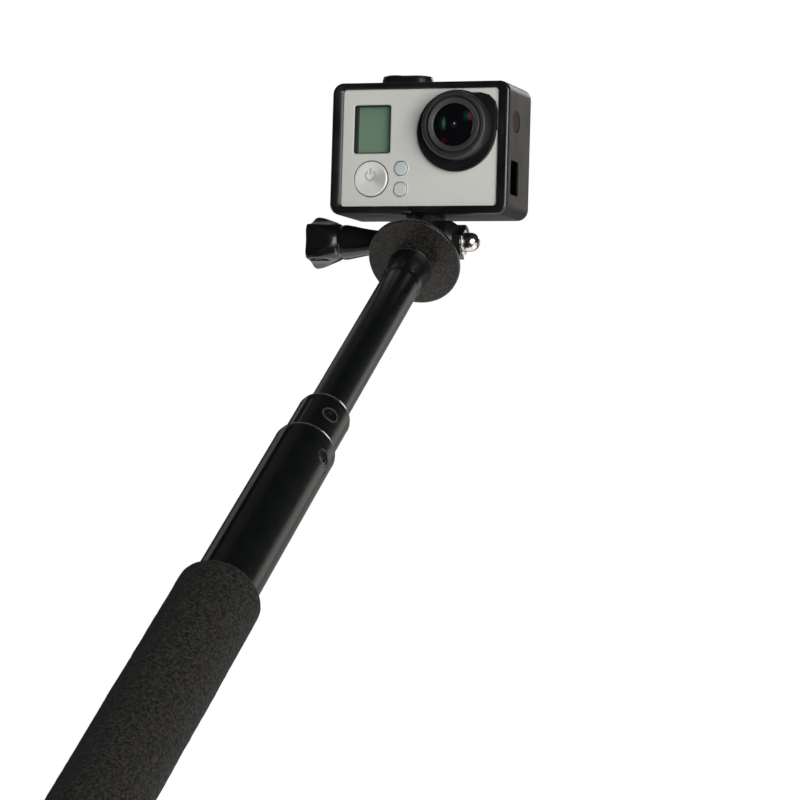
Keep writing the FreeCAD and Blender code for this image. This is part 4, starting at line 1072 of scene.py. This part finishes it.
def make_display():
    """A deep-set panel behind its window, with black walls and rounded corners."""
    hood_low, hood_high = head_box("display_hood")
    plate = head_box("front_plate")[0].y
    window_low, window_high = head_box("display_window")
    panel_low, panel_high = head_box("display_panel")
    square = rounded_loop(hood_low.x, hood_high.x, hood_low.z, hood_high.z, SQUARE_CORNER)
    soft = rounded_loop(hood_low.x + 0.1 * MM, hood_high.x - 0.1 * MM, hood_low.z + 0.1 * MM,
                        hood_high.z - 0.1 * MM, 0.9 * MM)
    inner = rounded_loop(window_low.x + 0.4 * MM, window_high.x, window_low.z, window_high.z,
                         0.6 * MM)
    walls = banded_loops("display_hood_walls", [
        (square, hood_low.y), (inner, hood_low.y), (inner, hood_high.y), (square, hood_high.y)])
    add_piece("display_hood_walls", walls, "display_hood", "display_black", HEAD)
    corners = banded_loops("display_corners", [
        (square, plate), (soft, plate), (soft, hood_low.y - 0.01 * MM),
        (square, hood_low.y - 0.01 * MM)])
    add_piece("display_corners", corners, "front_plate", space=HEAD, stands_for=False)
    outline = [(panel_low.x, panel_low.z), (panel_high.x, panel_low.z),
               (panel_high.x, panel_high.z), (panel_low.x, panel_high.z)]
    deep = prism_mesh("display_panel_deep", outline, hood_high.y + 0.02 * MM, panel_high.y)
    add_piece("display_panel_deep", deep, "display_panel", space=HEAD)


def make_lamps():
    """Two pale round windows, each with a thin rim in the plate."""
    low, high = head_box("indicator_lamps")
    radius = (high.x - low.x) / 2
    x = (high.x + low.x) / 2
    plate = head_box("front_plate")[0].y
    for name, z in (("upper_lamp", high.z - radius), ("lower_lamp", low.z + radius)):
        spot = in_head(x, z)
        lathe(name, "indicator_lamps", [
            (0, low.y, 0), (radius - 0.8 * MM, low.y, 0.3 * MM),
            (radius - 0.45 * MM, low.y + 0.15 * MM, 0.15 * MM), (radius - 0.45 * MM, high.y, 0),
            (0, high.y, 0)], "Y", spot, 64, stands_for=name == "upper_lamp")
        lathe(f"{name}_rim", "front_plate", [
            (radius - 0.22 * MM, plate + 0.5 * MM, 0), (radius - 0.22 * MM, plate, 0.08 * MM),
            (radius + 0.12 * MM, plate - 0.01 * MM, 0), (radius + 0.12 * MM, plate + 0.5 * MM, 0)],
            "Y", spot, 64, stands_for=False)


GLASS_R, GLASS_BOW, GLASS_SINK, GLASS_STEPS = 7.35, 28.0, 0.12, 16    # lengths in millimetres


def make_lens():
    """The barrel, the ring inside it, the bowed front glass and the surround they stand on."""
    spot = in_head(LENS_X, LENS_Z)
    low, high = head_box("lens_barrel")
    front, back, radius = low.y, high.y, (high.x - low.x) / 2
    lathe("lens_barrel_turned", "lens_barrel", [
        (radius, back, 0), (radius, front + 1.5 * MM, 1.2 * MM),
        (radius - 0.6 * MM, front + 0.05 * MM, 0.7 * MM), (radius - 1.4 * MM, front, 0.2 * MM),
        (10.0 * MM, front, 0.2 * MM), (10.0 * MM, front + 1.4 * MM, 0),
        (8.2 * MM, front + 1.4 * MM, 0), (8.2 * MM, back, 0)], "Y", spot, 128)
    lathe("lens_ring_turned", "lens_ring", [
        (9.95 * MM, front + 1.35 * MM, 0), (9.95 * MM, front + 1.2 * MM, 0),
        (9.3 * MM, front + 1.2 * MM, 0), (9.3 * MM, front + 0.12 * MM, 0.15 * MM),
        (9.05 * MM, front + 0.05 * MM, 0.1 * MM), (7.6 * MM, front + 0.4 * MM, 0.15 * MM),
        (7.4 * MM, front + 0.6 * MM, 0.1 * MM), (7.4 * MM, front + 1.35 * MM, 0)],
        "Y", spot, 128)
    glass = [(0, 3.4), (8.1, 3.4), (8.1, 1.5), (GLASS_R, 1.5)]
    for step in range(GLASS_STEPS + 1):
        r = GLASS_R * (1 - step / GLASS_STEPS)
        glass.append((r, GLASS_SINK + GLASS_BOW - math.sqrt(GLASS_BOW * GLASS_BOW - r * r)))
    points = [(r * MM, front + y * MM, 0) for r, y in glass]
    lathe("front_lens_glass", "front_lens", points, "Y", spot, 96)
    refined("lens_surround", 0.5 * MM, material="surround_black")


def make_camera_parts():
    refined("front_plate", 0.14 * MM, segments=2)
    make_display()
    make_power_button()
    make_lamps()
    make_lens()
    make_shutter()


# Turns a banded surface so that its bands run down from the top, at minus their height.
UPENDED = HEAD @ Matrix(((1, 0, 0, 0), (0, 0, 1, 0), (0, -1, 0, 0), (0, 0, 0, 1)))
KEY_FLANGE_TOP, KEY_STEM_R = 53.9 * MM, 1.5 * MM


def make_shutter():
    """The release button, with a glossy rounded cap over the raised shroud round it."""
    low, high = head_box("shutter_button")
    middle = (low + high) / 2
    radius = (high.x - low.x) / 2
    spot = HEAD @ Matrix.Translation((middle.x, middle.y, 0))
    lathe("shutter_button_turned", "shutter_button", [
        (0, high.z - 0.5 * MM, 0), (radius - 0.3 * MM, high.z - 0.5 * MM, 0.7 * MM),
        (radius, high.z - 1.0 * MM, 0.5 * MM), (radius, KEY_FLANGE_TOP, 0),
        (KEY_STEM_R, KEY_FLANGE_TOP, 0), (KEY_STEM_R, low.z, 0), (0, low.z, 0)], "Z", spot, 64)
    shell_top = head_box("front_bezel")[1].z
    top = head_box("camera_frame")[1].z
    hole = rounded_loop(low.x - 0.3 * MM, high.x + 0.3 * MM, low.y - 0.3 * MM, high.y + 0.3 * MM,
                        radius + 0.29 * MM, 12)

    def shroud(grow):
        x0, x1, reach = -17.7 * MM - grow, grow, 4.8 * MM + grow
        return rounded_loop(x0, x1, middle.y - reach, middle.y + reach, reach * 0.999, 12)

    bands = [(hole, -shell_top), (shroud(0.9 * MM), -shell_top),
             (shroud(0.45 * MM), -shell_top - 0.9 * MM), (shroud(0.2 * MM), -top + 0.9 * MM),
             (shroud(0.02 * MM), -top + 0.35 * MM), (shroud(-0.35 * MM), -top + 0.04 * MM),
             (shroud(-0.8 * MM), -top), (hole, -top)]
    cap = banded_loops("shutter_shroud_cap", bands)
    add_piece("shutter_shroud_cap", cap, "camera_frame", "bezel_plastic", UPENDED, False)


make_camera()
make_stage()
make_materials()
paint_cad_nodes()
make_pole()
make_hinge()
make_clip_frame()
make_camera_parts()
